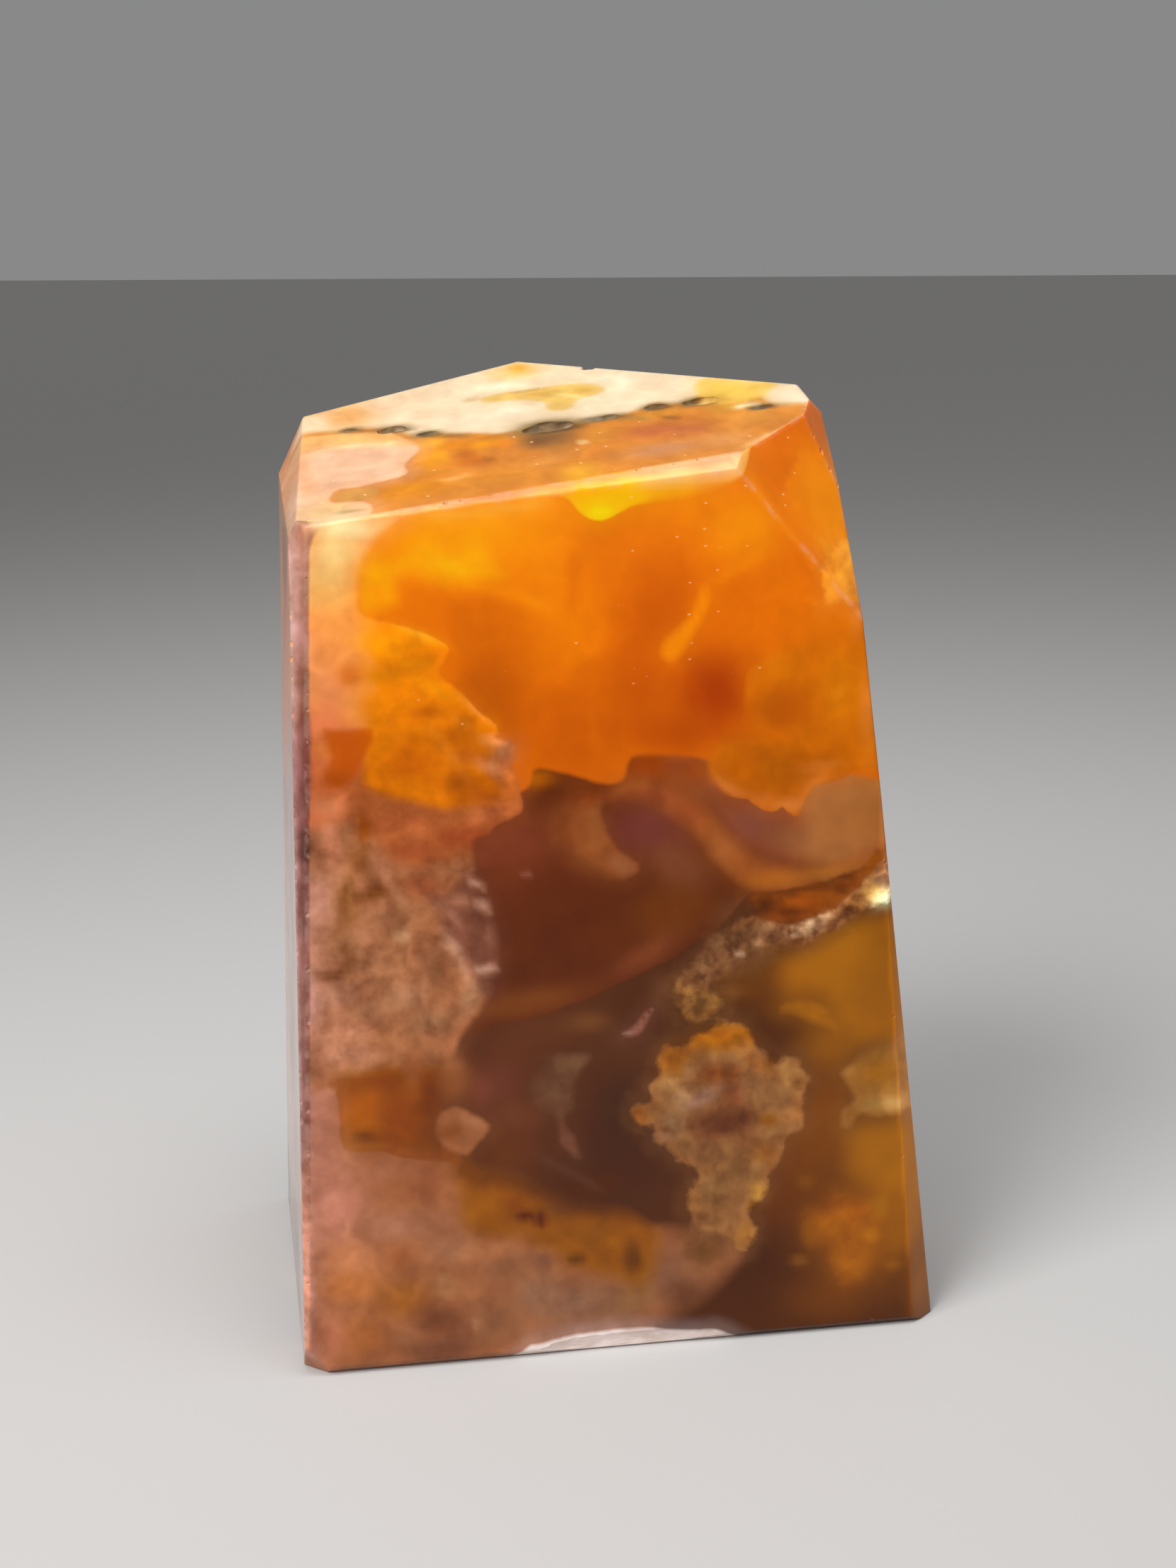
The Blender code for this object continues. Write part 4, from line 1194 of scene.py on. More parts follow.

# %% Dark stone in each pit of the seam, darkest towards its front and paler towards its back, with a painted shade round it
for right, back, length, width, depth in SEAM_PITS:
    touch_all(GLASS, (
        # The first touch is a faint painted shade round the pit; the others are the pit's dark
        # stone.
        ((170, 134, 74), (right, back), (length * 0.8, width * 0.7), 0.35),
        ((104, 86, 54), (right, back + 0.1 * width), (length * 0.55, width * 0.55)),
        ((84, 60, 30), (right + 0.15 * length, back - 0.3 * width), (length * 0.5, width * 0.3)),
        ((150, 132, 96), (right - 0.2 * length, back + 0.2 * width), (length * 0.2, width * 0.2)),
    ), face="top")
tell("pits")

# %% The plumes that come out on the top
zone(PLUMES, (250, 196, 156), [
    (-3, 16.5), (0, 16.6), (4, 17.3), (7, 16.8), (10.4, 15.4), (10.6, 14.5), (9.8, 13.2),
    (9.2, 12), (9.5, 11), (8.5, 10.3), (7, 10), (5.5, 9.7), (4, 9.8), (3.3, 8.9), (3.4, 7.8),
    (5, 7.6), (6.2, 6.6), (6, 5), (5, 3), (-3, 3),
], soft=0.25, ragged=0.15, grain=0.3, deep=3, face="top")
zone(PLUMES, (249, 188, 112), [(-3, 17), (0, 17.1), (4, 17.8), (7, 17.3), (10.3, 16),
                               (9.5, 17.3), (8.2, 18.8), (5, 19.6), (-3, 20)],
     soft=0.25, ragged=0.15, grain=0.3, deep=3, face="top")
zone(PLUMES, (250, 202, 84), [
    (34.5, 20), (36, 19.8), (38.5, 18.2), (40.5, 17.2), (39.4, 15.8), (38.6, 14.8), (36, 14.4),
    (34.4, 15.2), (33.6, 17), (33.8, 19),
], soft=0.5, ragged=0.15, grain=0.3, deep=3, face="top")
touch_all(PLUMES, (
    ((252, 210, 146), (3, 6.5), (2.4, 1.6)), ((255, 222, 172), (3, 5.4), (1.4, 0.8)),
    ((251, 204, 168), (8, 11.2), (1.2, 0.9)), ((246, 166, 104), (0.6, 15.5), (1.2, 3)),
    ((246, 176, 126), (1.4, 11), (1.2, 2), 0.7), ((160, 140, 88), (4.6, 5.9), (1.1, 0.25), 0.7),
    ((222, 168, 66), (35.4, 15.4), (1.1, 0.8)),
), face="top")
zone(DETAILS, (214, 150, 72), [(3.3, 8.6), (4.2, 9.5), (5.6, 9.7), (6.8, 9), (6.9, 8.2),
                               (6, 7.7), (5, 7.5), (3.7, 7.9)],
     soft=0.35, ragged=0.1, grain=0.3, deep=2, face="top")
zone(DETAILS, (240, 194, 96), [
    (18, 22.8), (20, 22.8), (22, 22.8), (24, 22.8), (25.5, 22.2), (26.5, 21.4), (26.6, 20.5),
    (25.6, 19.8), (24.2, 19.4), (23.6, 18.3), (22.8, 17.8), (21.4, 18.4), (21.5, 19.6),
    (20.6, 20.4), (19.3, 21), (17, 21.4), (16.4, 22.2),
], soft=0.4, ragged=0.12, grain=0.3, deep=2, face="top")
touch_all(DETAILS, (
    ((196, 144, 56), (20.4, 22.5), (1.8, 0.3)), ((228, 172, 66), (24.9, 21), (0.9, 0.7)),
    ((253, 222, 140), (23.4, 20.6), (1.6, 0.35), 0.8, -34),
    ((226, 172, 72), (21.6, 21.6), (1.4, 0.6)),
), face="top")
tell("plumes on the top")

# %% Veins on the top
stroke_all((
    (((3, 17.5), (7, 16.9), (10, 16.2)), (253, 220, 160), 0.25, 0.7),
    (((5, 19.8), (6.8, 19.3), (8.7, 18.8)), (176, 112, 50), 0.22, 0.7),
    (((11.4, 16.9), (13.2, 16.3), (15, 15.7)), (150, 112, 54), 0.25, 0.7),
    (((17.8, 14.6), (19, 15.2), (19.8, 15.9)), (166, 128, 70), 0.22, 0.7),
    (((26, 15.2), (27.6, 14.6), (28.6, 14.3), (29, 13.6)), (168, 126, 62), 0.22, 0.7),
    (((30.1, 14), (30.7, 13.7), (31.3, 13.4)), (150, 92, 30), 0.22, 0.8),
    (((36, 13.6), (37, 13.9), (38.2, 14)), (255, 240, 200), 0.25, 0.8),
    (((39, 13.1), (40.4, 13), (41.4, 12.7)), (214, 160, 90), 0.15, 0.6),
    (((15.2, 22.3), (15.7, 22.35), (16.2, 22.3)), (206, 160, 104), 0.2, 0.7),
    (((23, 12), (23.2, 11.5), (23.5, 11.9)), (255, 226, 170), 0.1, 0.8),
    (((11.5, 8.6), (13, 8.9), (14.2, 9.1)), (250, 186, 110), 0.18, 0.6),
    (((34.3, 6.2), (36.4, 7.6), (38.4, 8.7), (40, 9.6)), (250, 200, 130), 0.2, 0.6),
), "top")
tell("the whole top")

# %% The dark band down the left front edge
zone(DETAILS, (116, 70, 62), [(-6, -6), (6, -6), (6, 90), (-6, 90)], soft=0.12, ragged=0.05,
     grain=1.0, deep=0.16, face="left band", sharp=True)
patch(DETAILS, (164, 126, 120), [(0.8, -6), (0.7, 40), (0.8, 90), (6, 90), (6, -6)], 0.25,
      face="left band")
touch_all(DETAILS, (
    ((212, 142, 114), (0, 5), (6, 13)), ((112, 70, 64), (0.1, 57), (0.7, 6)),
    ((86, 48, 50), (0.2, 44), (0.5, 9)), ((140, 92, 82), (0.1, 65), (0.8, 3)),
    ((170, 134, 130), (1.4, 60), (1, 7)),
    ((236, 152, 100), (1, 70), (6, 2.6)), ((136, 98, 100), (1.4, 46), (1, 5)),
    ((120, 92, 90), (1.4, 24), (1, 10)),
), face="left band")
tell("dark band")

# %% The left side
zone(PLUMES, (168, 116, 104), [(-4, 6), (6, 4), (14, 9), (22, 6), (34, 10), (34, 40), (26, 47),
                               (18, 44), (12, 50), (5, 62), (-4, 66)],
     soft=0.6, ragged=0.4, grain=0.9, deep=0.9, face="left")
zone(PLUMES, (235, 152, 100), [(-4, 66), (5, 64.5), (12, 66.5), (16, 66), (18, 63.5),
                               (17.4, 60.6), (19.6, 57.6), (22, 58), (23.6, 54.6), (27, 52),
                               (34, 52), (34, 90), (-4, 90)],
     soft=0.4, ragged=0.3, grain=0.4, deep=0.9, face="left")
zone(GLASS, (205, 100, 20), [(-4, 66), (5, 62), (12, 50), (18, 44), (26, 47), (34, 40),
                             (34, 69), (20, 66), (12, 66.5)],
     soft=0.5, ragged=0.3, grain=0.2, deep=5, face="left")
touch_all(PLUMES, (
    ((160, 120, 118), (0, 56), (2, 6)), ((120, 88, 86), (0, 38), (1.4, 14)),
    ((196, 140, 118), (5, 34), (3, 8), 0.8), ((124, 70, 46), (14, 24), (6, 6), 0.9),
    ((152, 88, 56), (8, 12), (5, 4), 0.8), ((184, 120, 92), (20, 34), (4, 5), 0.8),
    ((176, 104, 62), (24, 16), (4, 3), 0.8), ((204, 146, 122), (1, 14), (2, 6), 0.8),
), face="left")

tell("left side")

# %% [markdown]
# ## The right side and the back
# No photograph shows these, so they follow what the front says: the orange layer runs through
# the whole stone at the same height, the seam comes round from its notch, and more flowers are
# cut through at random.

# %% A flower, cut through anywhere
def lumpy_ring(middle, radii, petals, seed, depth=0.16):
    """The scalloped outline of a flower-like growth, larger on one side than on the other."""
    rim = []
    for number in range(petals * 4):
        angle = 2 * pi * number / (petals * 4)
        bulge = 1 + depth * (abs(sin(angle * petals / 2 + seed)) - 0.6)
        bulge += 0.7 * noise.noise(Vector((cos(angle) * 0.9, sin(angle) * 0.9, seed * 7.1)))
        rim.append((middle[0] + radii[0] * bulge * cos(angle),
                    middle[1] + radii[1] * bulge * sin(angle)))
    return rim


def flower(face, middle, size, petals, tint, seed):
    """A scalloped outline with darker and paler petals, a greyer ring inside and a brown eye."""
    chance = random.Random(seed)
    across, up = middle
    zone(PLUMES, tint, lumpy_ring(middle, (size, size * 0.9), petals, seed), soft=0.35,
         ragged=0.45, grain=0.75, deep=3, face=face)
    ring = (tint[0] * 0.96, tint[1] * 1.04, tint[2] * 1.3)
    marks = [(ring, middle, (size * 0.5, size * 0.4), 0.7)]
    for number in range(petals * 2):
        angle = pi * (number + chance.uniform(-0.5, 0.5)) / petals
        out = size * chance.uniform(0.5, 0.9)
        shade = chance.uniform(0.72, 1.22)
        marks.append((tuple(part * shade for part in tint),
                      (across + out * cos(angle), up + 0.9 * out * sin(angle)),
                      (size * 0.22, size * 0.14), 0.8, degrees(angle)))
    touch_all(PLUMES, marks, face)
    patch(PLUMES, (0.76 * tint[0], 0.62 * tint[1], 0.66 * tint[2]),
          lumpy_ring((across + 0.1 * size, up - 0.06 * size), (size * 0.3, size * 0.17), 4, seed),
          0.6, face=face)


print("a flower of 6 petals has", len(lumpy_ring((0, 0), (1, 1), 6, 1)), "corners")

# %% The right side
zone(GLOW, (216, 108, 2), [(-4, 46.6), (4, 47.5), (9, 46), (15, 48.5), (22, 47), (34, 50),
                           (34, 90), (-4, 90)],
     soft=0.5, ragged=0.2, grain=0.15, deep=9, face="right")
touch_all(GLOW, (
    ((240, 138, 4), (8, 68), (6, 4)), ((190, 84, 0), (22, 58), (5, 5)),
    ((232, 128, 4), (12, 56), (4, 3)), ((246, 150, 20), (20, 70), (6, 3)),
), face="right")
zone(GLASS, (110, 55, 18), [(-4, 39), (5, 39.5), (12, 41.6), (20, 41), (34, 45), (34, 52),
                            (-4, 52)],
     soft=0.3, ragged=0.15, grain=0.15, deep=7, face="right")
touch_all(GLASS, (
    ((166, 100, 48), (3, 43), (3, 2.4)), ((130, 70, 50), (13, 44.6), (3.6, 1.8)),
    ((150, 78, 24), (24, 46), (4, 2.4)),
), face="right")
zone(PLUMES, (140, 94, 56), [(-4, 38.4), (3, 38.6), (8, 40), (14, 41), (20, 40.2), (34, 44),
                             (34, 42), (20, 38.4), (14, 39.2), (8, 38.2), (3, 37), (-4, 36.6)],
     soft=0.35, ragged=0.3, grain=0.9, deep=5, face="right")
touch_all(BODY, (
    ((150, 92, 4), (6, 31), (4, 4)), ((128, 70, 10), (16, 32), (4, 3)),
    ((100, 54, 20), (22, 22), (5, 5)), ((140, 82, 12), (5, 18), (3, 6)),
    ((118, 64, 20), (15, 7), (5, 4)), ((84, 44, 26), (24, 8), (4, 4)),
), face="right")
tell("layers of the right side")

# %% Flowers on the right side
for middle, size, petals, seed in (((12, 22.5), 5.4, 9, 2), ((21.5, 13), 3.6, 7, 5),
                                   ((6.4, 9.5), 3, 6, 8), ((24, 31), 2.6, 6, 3)):
    flower("right", middle, size, petals, (156, 102, 56), seed)
flower("right", (9, 60), 4.6, 7, (238, 148, 44), 1)
flower("right", (18, 53.5), 3.4, 6, (228, 132, 34), 4)

tell("right side")

# %% The back: glow and glass
zone(GLOW, (218, 110, 2), [(-6, 44), (3, 46), (9, 43.5), (15, 47), (22, 45), (30, 48.5),
                           (38, 46.4), (46, 48.8), (58, 50), (58, 90), (-6, 90)],
     soft=0.4, ragged=0.2, grain=0.15, deep=10, face="back")
touch_all(GLOW, (
    ((246, 148, 6), (32, 68), (10, 5)), ((186, 78, 0), (27, 52), (6, 4)),
    ((236, 132, 4), (14, 52), (5, 3)), ((250, 170, 40), (14, 70), (6, 4)),
    ((196, 90, 0), (42, 54), (5, 4)), ((228, 124, 2), (24, 62), (4, 6)),
), face="back")
zone(GLASS, (98, 46, 22), [(-6, 30), (10, 32), (20, 32), (28, 36), (40, 38), (58, 44), (58, 52),
                           (-6, 50)],
     soft=0.2, ragged=0.08, grain=0.15, deep=8, face="back")
touch_all(GLASS, (
    ((128, 66, 34), (20, 33.6), (6, 1.4), 0.9, 12), ((140, 76, 54), (30, 42), (4, 2.4)),
    ((126, 60, 40), (16, 41), (4, 3)), ((168, 102, 48), (44, 44), (4, 2.6)),
), face="back")
tell("glow and glass of the back")

# %% Plumes on the back
zone(PLUMES, (176, 114, 80), [(-6, 44), (3, 43), (8, 38), (11, 33), (10, 26), (12, 18), (6, 10),
                              (-6, 8)],
     soft=0.4, ragged=0.25, grain=0.9, deep=5, face="back")
patch(PLUMES, (150, 88, 48), [(9, 37), (10.4, 33), (9.4, 27), (11, 19), (8, 13), (4.6, 15),
                              (6.4, 21), (4.4, 26), (6.4, 31), (4, 37)], 1.2, 1.0, face="back")
patch(PLUMES, (204, 146, 112), [(-4, 40), (2, 38), (3.4, 34), (1.6, 30), (2.8, 25), (-4, 24)], 1.0,
      face="back")
touch_all(PLUMES, (
    ((196, 130, 92), (7, 34.4), (2, 1.4)), ((134, 74, 34), (7.4, 28.4), (1.6, 1)),
    ((186, 122, 84), (3, 17), (3, 3)), ((190, 130, 98), (8.4, 23), (1.4, 2)),
    ((140, 80, 44), (2.4, 21.6), (2, 1)), ((208, 152, 118), (4.4, 40), (2.4, 1.2)),
), face="back")
zone(PLUMES, (238, 146, 62), [
    (26, 80), (24.6, 76), (24.8, 73), (22.4, 71.4), (21.4, 69), (18.6, 68.4), (17, 66.4),
    (17.2, 64), (14.6, 62.4), (13, 60), (10, 60.4), (8, 58), (5, 56), (-6, 57), (-6, 80),
], soft=0.4, ragged=0.3, grain=0.5, deep=4, face="back")
patch(PLUMES, (252, 180, 92), [(20, 78), (20.6, 73), (17.4, 71), (14.4, 67), (10, 65.6), (6, 66.6),
                               (2, 70), (4, 76)], 1.6, face="back")
touch_all(PLUMES, (
    ((255, 206, 130), (13, 71), (5, 2), 0.8, 20), ((250, 180, 104), (2, 64), (3, 3)),
    ((226, 124, 40), (12, 63), (3, 1.4)), ((230, 130, 44), (6.4, 61), (2.4, 1.4)),
), face="back")
zone(PLUMES, (138, 92, 54), [(58, 45), (46, 41), (40, 38.6), (34, 38.4), (27, 35.5), (20, 31),
                             (14, 29.6), (14, 28.2), (21, 29), (28, 33.4), (34, 36.6),
                             (40, 36.6), (46, 39), (58, 42.5)],
     soft=0.35, ragged=0.3, grain=0.9, deep=4, face="back")
touch_all(BODY, (
    ((152, 94, 4), (45, 32), (5, 4)), ((112, 60, 14), (37, 28), (4, 4)),
    ((140, 80, 8), (48, 18), (4, 6)), ((98, 52, 30), (22, 22), (5, 5)),
    ((78, 42, 28), (30, 8), (6, 4)), ((160, 92, 4), (40, 6), (4, 3)),
), face="back")
tell("plumes of the back")

# %% Flowers on the back
for middle, size, petals, seed in (((29, 20), 6.6, 10, 1), ((42, 26.5), 3.8, 7, 6),
                                   ((18.5, 12), 3.6, 7, 4), ((43, 12), 4.2, 8, 9)):
    flower("back", middle, size, petals, (154, 102, 57), seed)
flower("back", (36, 57), 5, 8, (240, 148, 40), 3)
flower("back", (44, 63.5), 3, 6, (246, 166, 76), 7)
tell("sides and back")

# %% [markdown]
# ## Painting
# Now each layer is worked out point by point. Where marks overlap or meet, each one counts the
# more the further the point is inside it. The glassy body is different: it has no marks, only
# soft pools of colour that run right through the stone, so it is made from noise in all three
# directions and then touched.

# %% Turn screen colours into light, and lay touches over tints
def linear(tints):
    """Screen colours from 0 to 255 as the light that they stand for."""
    share = np.clip(np.asarray(tints, float) / 255, 0, 1)
    return np.where(share < 0.04045, share / 12.92, ((share + 0.055) / 1.055) ** 2.4)


def touched(tints, marks, edges=None):
    """Lays the touches and patches over the tints, in the order in which they were marked."""
    for tint, strength, grain, shape, place in marks:
        cover = strength * shape(*place)
        tints += cover[:, None] * (np.array(tint, float) - tints)
        if grain is not None:
            edges[:, 2] += cover * (grain - edges[:, 2])
    return tints


print("a middle grey of 128 is", round(float(linear(128)), 3), "of the light")

# %% Work out one layer: how its marks merge
MERGING = 0.5
TINT_MERGING = 0.4
NEXT_TO_NOTHING = 1e-9


def paint_layer(marks, soft_marks, blurred):
    """Tint, reach and kind of edge at every point, for one layer of marks."""
    total = np.full(len(SPOTS), NEXT_TO_NOTHING)
    tints = np.zeros((len(SPOTS), 3))
    edges = np.zeros((len(SPOTS), 3))
    best = np.full(len(SPOTS), NEXT_TO_NOTHING)
    for tint, outline, edge, deep, face in marks:
        across, up, depth, limit = DRAWINGS[face]
        low, high = outline.min(axis=0) - FAR, outline.max(axis=0) + FAR
        near = ((across > low[0]) & (across < high[0]) & (up > low[1]) & (up < high[1])
                & (depth < deep + FAR) & (limit > -FAR))
        reach = reach_inside(outline, across[near], up[near])
        reach = np.minimum(reach, np.minimum(deep - depth[near], limit[near]))
        reach = np.clip(reach, -FAR, FAR)
        weight = np.exp(reach / TINT_MERGING)
        total[near] += weight
        tints[near] += weight[:, None] * np.array(tint, float)
        edges[near] += weight[:, None] * np.array(edge)
        best[near] += np.exp(reach / MERGING)
    best = np.clip(MERGING * np.log(best), -FAR, FAR)
    tints = tints / total[:, None]
    edges = edges / total[:, None]
    for amount, middle, radii, turn in blurred:
        edges[:, 0] += amount * soft_spot(middle, radii, turn, "front")
    return touched(tints, soft_marks, edges), best, edges


layers = {layer: paint_layer(marks, touches[layer], blurs[layer])
          for layer, marks in zones.items()}
for layer, (_, reach, _) in layers.items():
    print("layer", layer, "covers", round(100 * np.mean(reach > 0)), "percent of the points")

# %% The glassy body: pools of colour that run through the stone
FACE_TINT = (84, 44, 24)
POOL_TINTS = ((98, 45, 22), (150, 88, 8), (184, 115, 84), (112, 62, 34))
POOL_SCALE = 0.075
WARM_TINT = (222, 116, 6)
WARM_FROM = 47


def noise_at(spots, scale, shift):
    """Noise at every point, between about -1 and 1."""
    return np.array([noise.noise(Vector(spot) * scale + Vector((shift, 0, 0))) for spot in spots])


warmth = np.clip((UP - WARM_FROM + 2 * noise_at(SPOTS, 0.09, 5)) / 2, 0, 1)
behind = np.clip(DEPTHS["front"] / 5 - 0.2, 0, 1)
body = np.tile(np.array(FACE_TINT, float), (len(SPOTS), 1))
for number, tint in enumerate(POOL_TINTS):
    pool = noise_at(SPOTS, POOL_SCALE, 20.0 * number + 11)
    cover = np.clip((pool - 0.02) * 4, 0, 1) * behind
    body += cover[:, None] * (np.array(tint, float) - body)
body += warmth[:, None] * (np.array(WARM_TINT, float) - body)
body = touched(body, touches[BODY])
print("the body's tints run from", body.min(axis=0).round(), "to", body.max(axis=0).round())

# %% Draw the soft lines over all layers
LINE_DEPTH = 1.2


def line_cover(path, width, strength, face):
    """How much a soft line covers each point; it tapers towards both ends."""
    across, up, depth, limit = DRAWINGS[face]
    path = smooth_outline(path, 3, closed=False)
    low, high = path.min(axis=0) - 2, path.max(axis=0) + 2
    near = np.flatnonzero((across > low[0]) & (across < high[0]) & (up > low[1])
                          & (up < high[1]) & (depth < LINE_DEPTH) & (limit > -0.3))
    cover = np.zeros(len(SPOTS))
    for number, (start, end) in enumerate(zip(path, path[1:])):
        step = end - start
        gap_x, gap_y = across[near] - start[0], up[near] - start[1]
        along = np.clip((gap_x * step[0] + gap_y * step[1]) / (step @ step + 1e-9), 0, 1)
        distance = np.hypot(gap_x - along * step[0], gap_y - along * step[1])
        place = (number + along) / (len(path) - 1)
        taper = np.clip(6 * place * (1 - place), 0, 1)
        cover[near] = np.maximum(cover[near], taper * np.exp(-(distance / width) ** 2))
    return strength * cover


all_tints = [body] + [tints for tints, _, _ in layers.values()]
for path, tint, width, strength, face in strokes:
    cover = line_cover(path, width, strength, face)[:, None]
    for tints in all_tints:
        tints += cover * (np.array(tint, float) - tints)
print("drew", len(strokes), "lines over", len(all_tints), "layers")

# %% [markdown]
# ## Keeping the layers on the mesh
# The tints above are what the eye sees, so the light that falls on each face is divided out
# again, and the faint gloss of the front is taken off. What is left is stored on the points of
# the mesh as attributes, one value for each point, and the material can read them by name.

# %% How much light falls on each point, with painted light on the right band and a painted glow on the upper front, and how much gloss lies over it
TOP_LIGHT = 1.3
BAND_PAINTED_LIGHT = 0.4
UPPER_PAINTED_GLOW = 0.1
HAZE = 0.008
on_top = np.clip(0.5 - share_with_top("front side"), 0, 1)
on_right_band = np.clip(1 - DEPTHS["right band"] / 0.15, 0, 1)
# The right band is painted brighter: painted light that cancels the shade the lamps leave on it.
light_there = 1 + (TOP_LIGHT - 1) * on_top - BAND_PAINTED_LIGHT * on_right_band
# The upper front is painted up to a tenth brighter: a painted glow, as of light coming through the
# orange stone.
light_there *= 1 - UPPER_PAINTED_GLOW * (1 - on_top) * np.clip((UP - 50) / 8, 0, 1)
light_there = light_there[:, None]
haze_there = np.clip(1 - DEPTHS["front"] / 2, 0, 1) * (1 - on_top) * HAZE
haze_there = (haze_there * np.interp(UP, (0, 25, 60), (1, 0.9, 0.3)))[:, None]


def painted(tints):
    """Screen colours as the surface needs them, with the light and the gloss there taken off."""
    return np.clip(linear(tints) / light_there - haze_there, 0.0008, 1)


print("light from", round(light_there.min(), 2), "to", round(light_there.max(), 2))

# %% How far each point is from a worn edge
FOOT_WEAR_FROM = 2
RIGHT_WEAR_FROM = 60


def distance_to_edges():
    """In millimetres. Edges that end below a height show no wear: the foot's, and the right's."""
    nearest = np.full(len(SPOTS), FAR)
    for start, end in EDGES:
        right_front = min(start.x, end.x) > 40 and max(start.y, end.y) < 9
        if max(start.z, end.z) < (RIGHT_WEAR_FROM if right_front else FOOT_WEAR_FROM):
            continue
        start, step = np.array(start), np.array(end - start)
        along = np.clip((SPOTS - start) @ step / (step @ step + 1e-9), 0, 1)
        gap = np.linalg.norm(SPOTS - start - along[:, None] * step, axis=1)
        nearest = np.minimum(nearest, gap)
    return nearest


edge_distance = distance_to_edges()
print(int((edge_distance < 0.5).sum()), "points lie within 0.5 mm of a worn edge")

# %% Keep everything on the mesh, for the material to read
SPECKLED = (((34, 67), (9, 6), 0.6), ((39.5, 67), (2.6, 6), 1.0), ((14, 54), (5, 4), 0.35),
            ((30, 57), (8, 4), 0.5))


def keep(name, kind, rows):
    """Stores one value for each point of the stone."""
    rows = np.ascontiguousarray(rows, np.float32)
    field = {"FLOAT": "value", "FLOAT_VECTOR": "vector"}[kind]
    stone.data.attributes.new(name, kind, "POINT").data.foreach_set(field, rows.ravel())


keep("body_tint", "FLOAT_VECTOR", painted(body))
for layer, (tints, reach, edges) in layers.items():
    keep("tint_%d" % layer, "FLOAT_VECTOR", painted(tints))
    keep("reach_%d" % layer, "FLOAT", reach)
    keep("edge_%d" % layer, "FLOAT_VECTOR", edges)
specks = [strength * soft_spot(middle, radii, 0, "front") for middle, radii, strength in SPECKLED]
keep("specks", "FLOAT", np.maximum(np.max(specks, axis=0), 0.5 * on_top))
keep("edge_distance", "FLOAT", edge_distance)
print("kept", len(stone.data.attributes), "attributes")

# %% [markdown]
# ## The polished finish
# The material lays the five layers over each other. A layer covers where its reach is above
# zero. Before that test a little noise is added to the reach, so that the line wanders: cells
# give the small lobes of a plume, and cloudy noise frays them. Everything is measured in
# millimetres on Object coordinates, so that the grain has its real size.

# %% Helpers for building a material from nodes
def plug(tree, socket, value):
    """Links a node's output to a socket, or sets the socket to a plain value."""
    if isinstance(value, bpy.types.NodeSocket):
        tree.links.new(value, socket)
    else:
        socket.default_value = value


def add(tree, kind, sockets=(), **settings):
    """Adds a node, sets its options, and plugs in values or other nodes' outputs."""
    made = tree.nodes.new("ShaderNode" + kind)
    for name, value in settings.items():
        setattr(made, name, value)
    for place, value in dict(sockets).items():
        plug(tree, made.inputs[place], value)
    return made


def calc(tree, operation, *values):
    """The result of one Math node."""
    return add(tree, "Math", enumerate(values), operation=operation).outputs[0]


def ramp(tree, value, low, high, start=0.0, end=1.0):
    """Maps a value smoothly from one range to another."""
    sockets = {0: value, 1: low, 2: high, 3: start, 4: end}
    made = add(tree, "MapRange", sockets, interpolation_type="SMOOTHSTEP")
    return made.outputs[0]


def mixed(tree, share, first, second, blend="MIX"):
    """Two colours mixed by a share."""
    made = add(tree, "Mix", {0: share, 6: first, 7: second}, data_type="RGBA", blend_type=blend)
    return made.outputs[2]


def stored(tree, name, output):
    """What is kept on the mesh under a name."""
    return add(tree, "Attribute", attribute_name=name).outputs[output]


def millimetres(tree):
    """Object coordinates, in millimetres."""
    place = add(tree, "TexCoord").outputs["Object"]
    return add(tree, "VectorMath", {0: place, 3: 1000}, operation="SCALE").outputs[0]


def clouds(tree, place, scale, detail=4, rough=0.55, output="Fac"):
    """Cloudy noise, with its scale as clouds to the millimetre."""
    sockets = {"Vector": place, "Scale": scale, "Detail": detail, "Roughness": rough}
    return add(tree, "TexNoise", sockets).outputs[output]


def cells(tree, place, scale, feature="F1", **sockets):
    """A pattern of round cells, with its scale as cells to the millimetre."""
    plugs = {"Vector": place, "Scale": scale}
    plugs.update(sockets)
    return add(tree, "TexVoronoi", plugs, feature=feature).outputs


print("a material starts with", len(polished.node_tree.nodes), "nodes")

# %% The noise that frays the edges, and the light inside a layer
def wandering(tree, place):
    """Noise round 0 that lets the edges of the marks wander a little."""
    lobes = cells(tree, place, 0.9, "SMOOTH_F1", Smoothness=0.6)["Distance"]
    frills = clouds(tree, place, 1.3, 4, 0.6)
    lobes = calc(tree, "MULTIPLY_ADD", lobes, -0.9, 0.4)
    frills = calc(tree, "MULTIPLY_ADD", frills, 1.6, -0.8)
    return calc(tree, "ADD", lobes, frills)


def veils(tree, place):
    """Soft light folds, like smoke: brightest where cloudy noise crosses its middle."""
    rise = clouds(tree, place, 0.2, 2, 0.4)
    gap = calc(tree, "ABSOLUTE", calc(tree, "SUBTRACT", rise, 0.5))
    return ramp(tree, gap, 0.0, 0.1, 1.0, 0.0)


def lit_by(tree, tint, light):
    """Makes a tint lighter or darker; as in real agate, the darker it is, the redder it is."""
    green = calc(tree, "POWER", light, 1.25)
    blue = calc(tree, "POWER", light, 1.5)
    grey = add(tree, "CombineColor", {0: light, 1: green, 2: blue}).outputs[0]
    return mixed(tree, 1.0, tint, grey, "MULTIPLY")


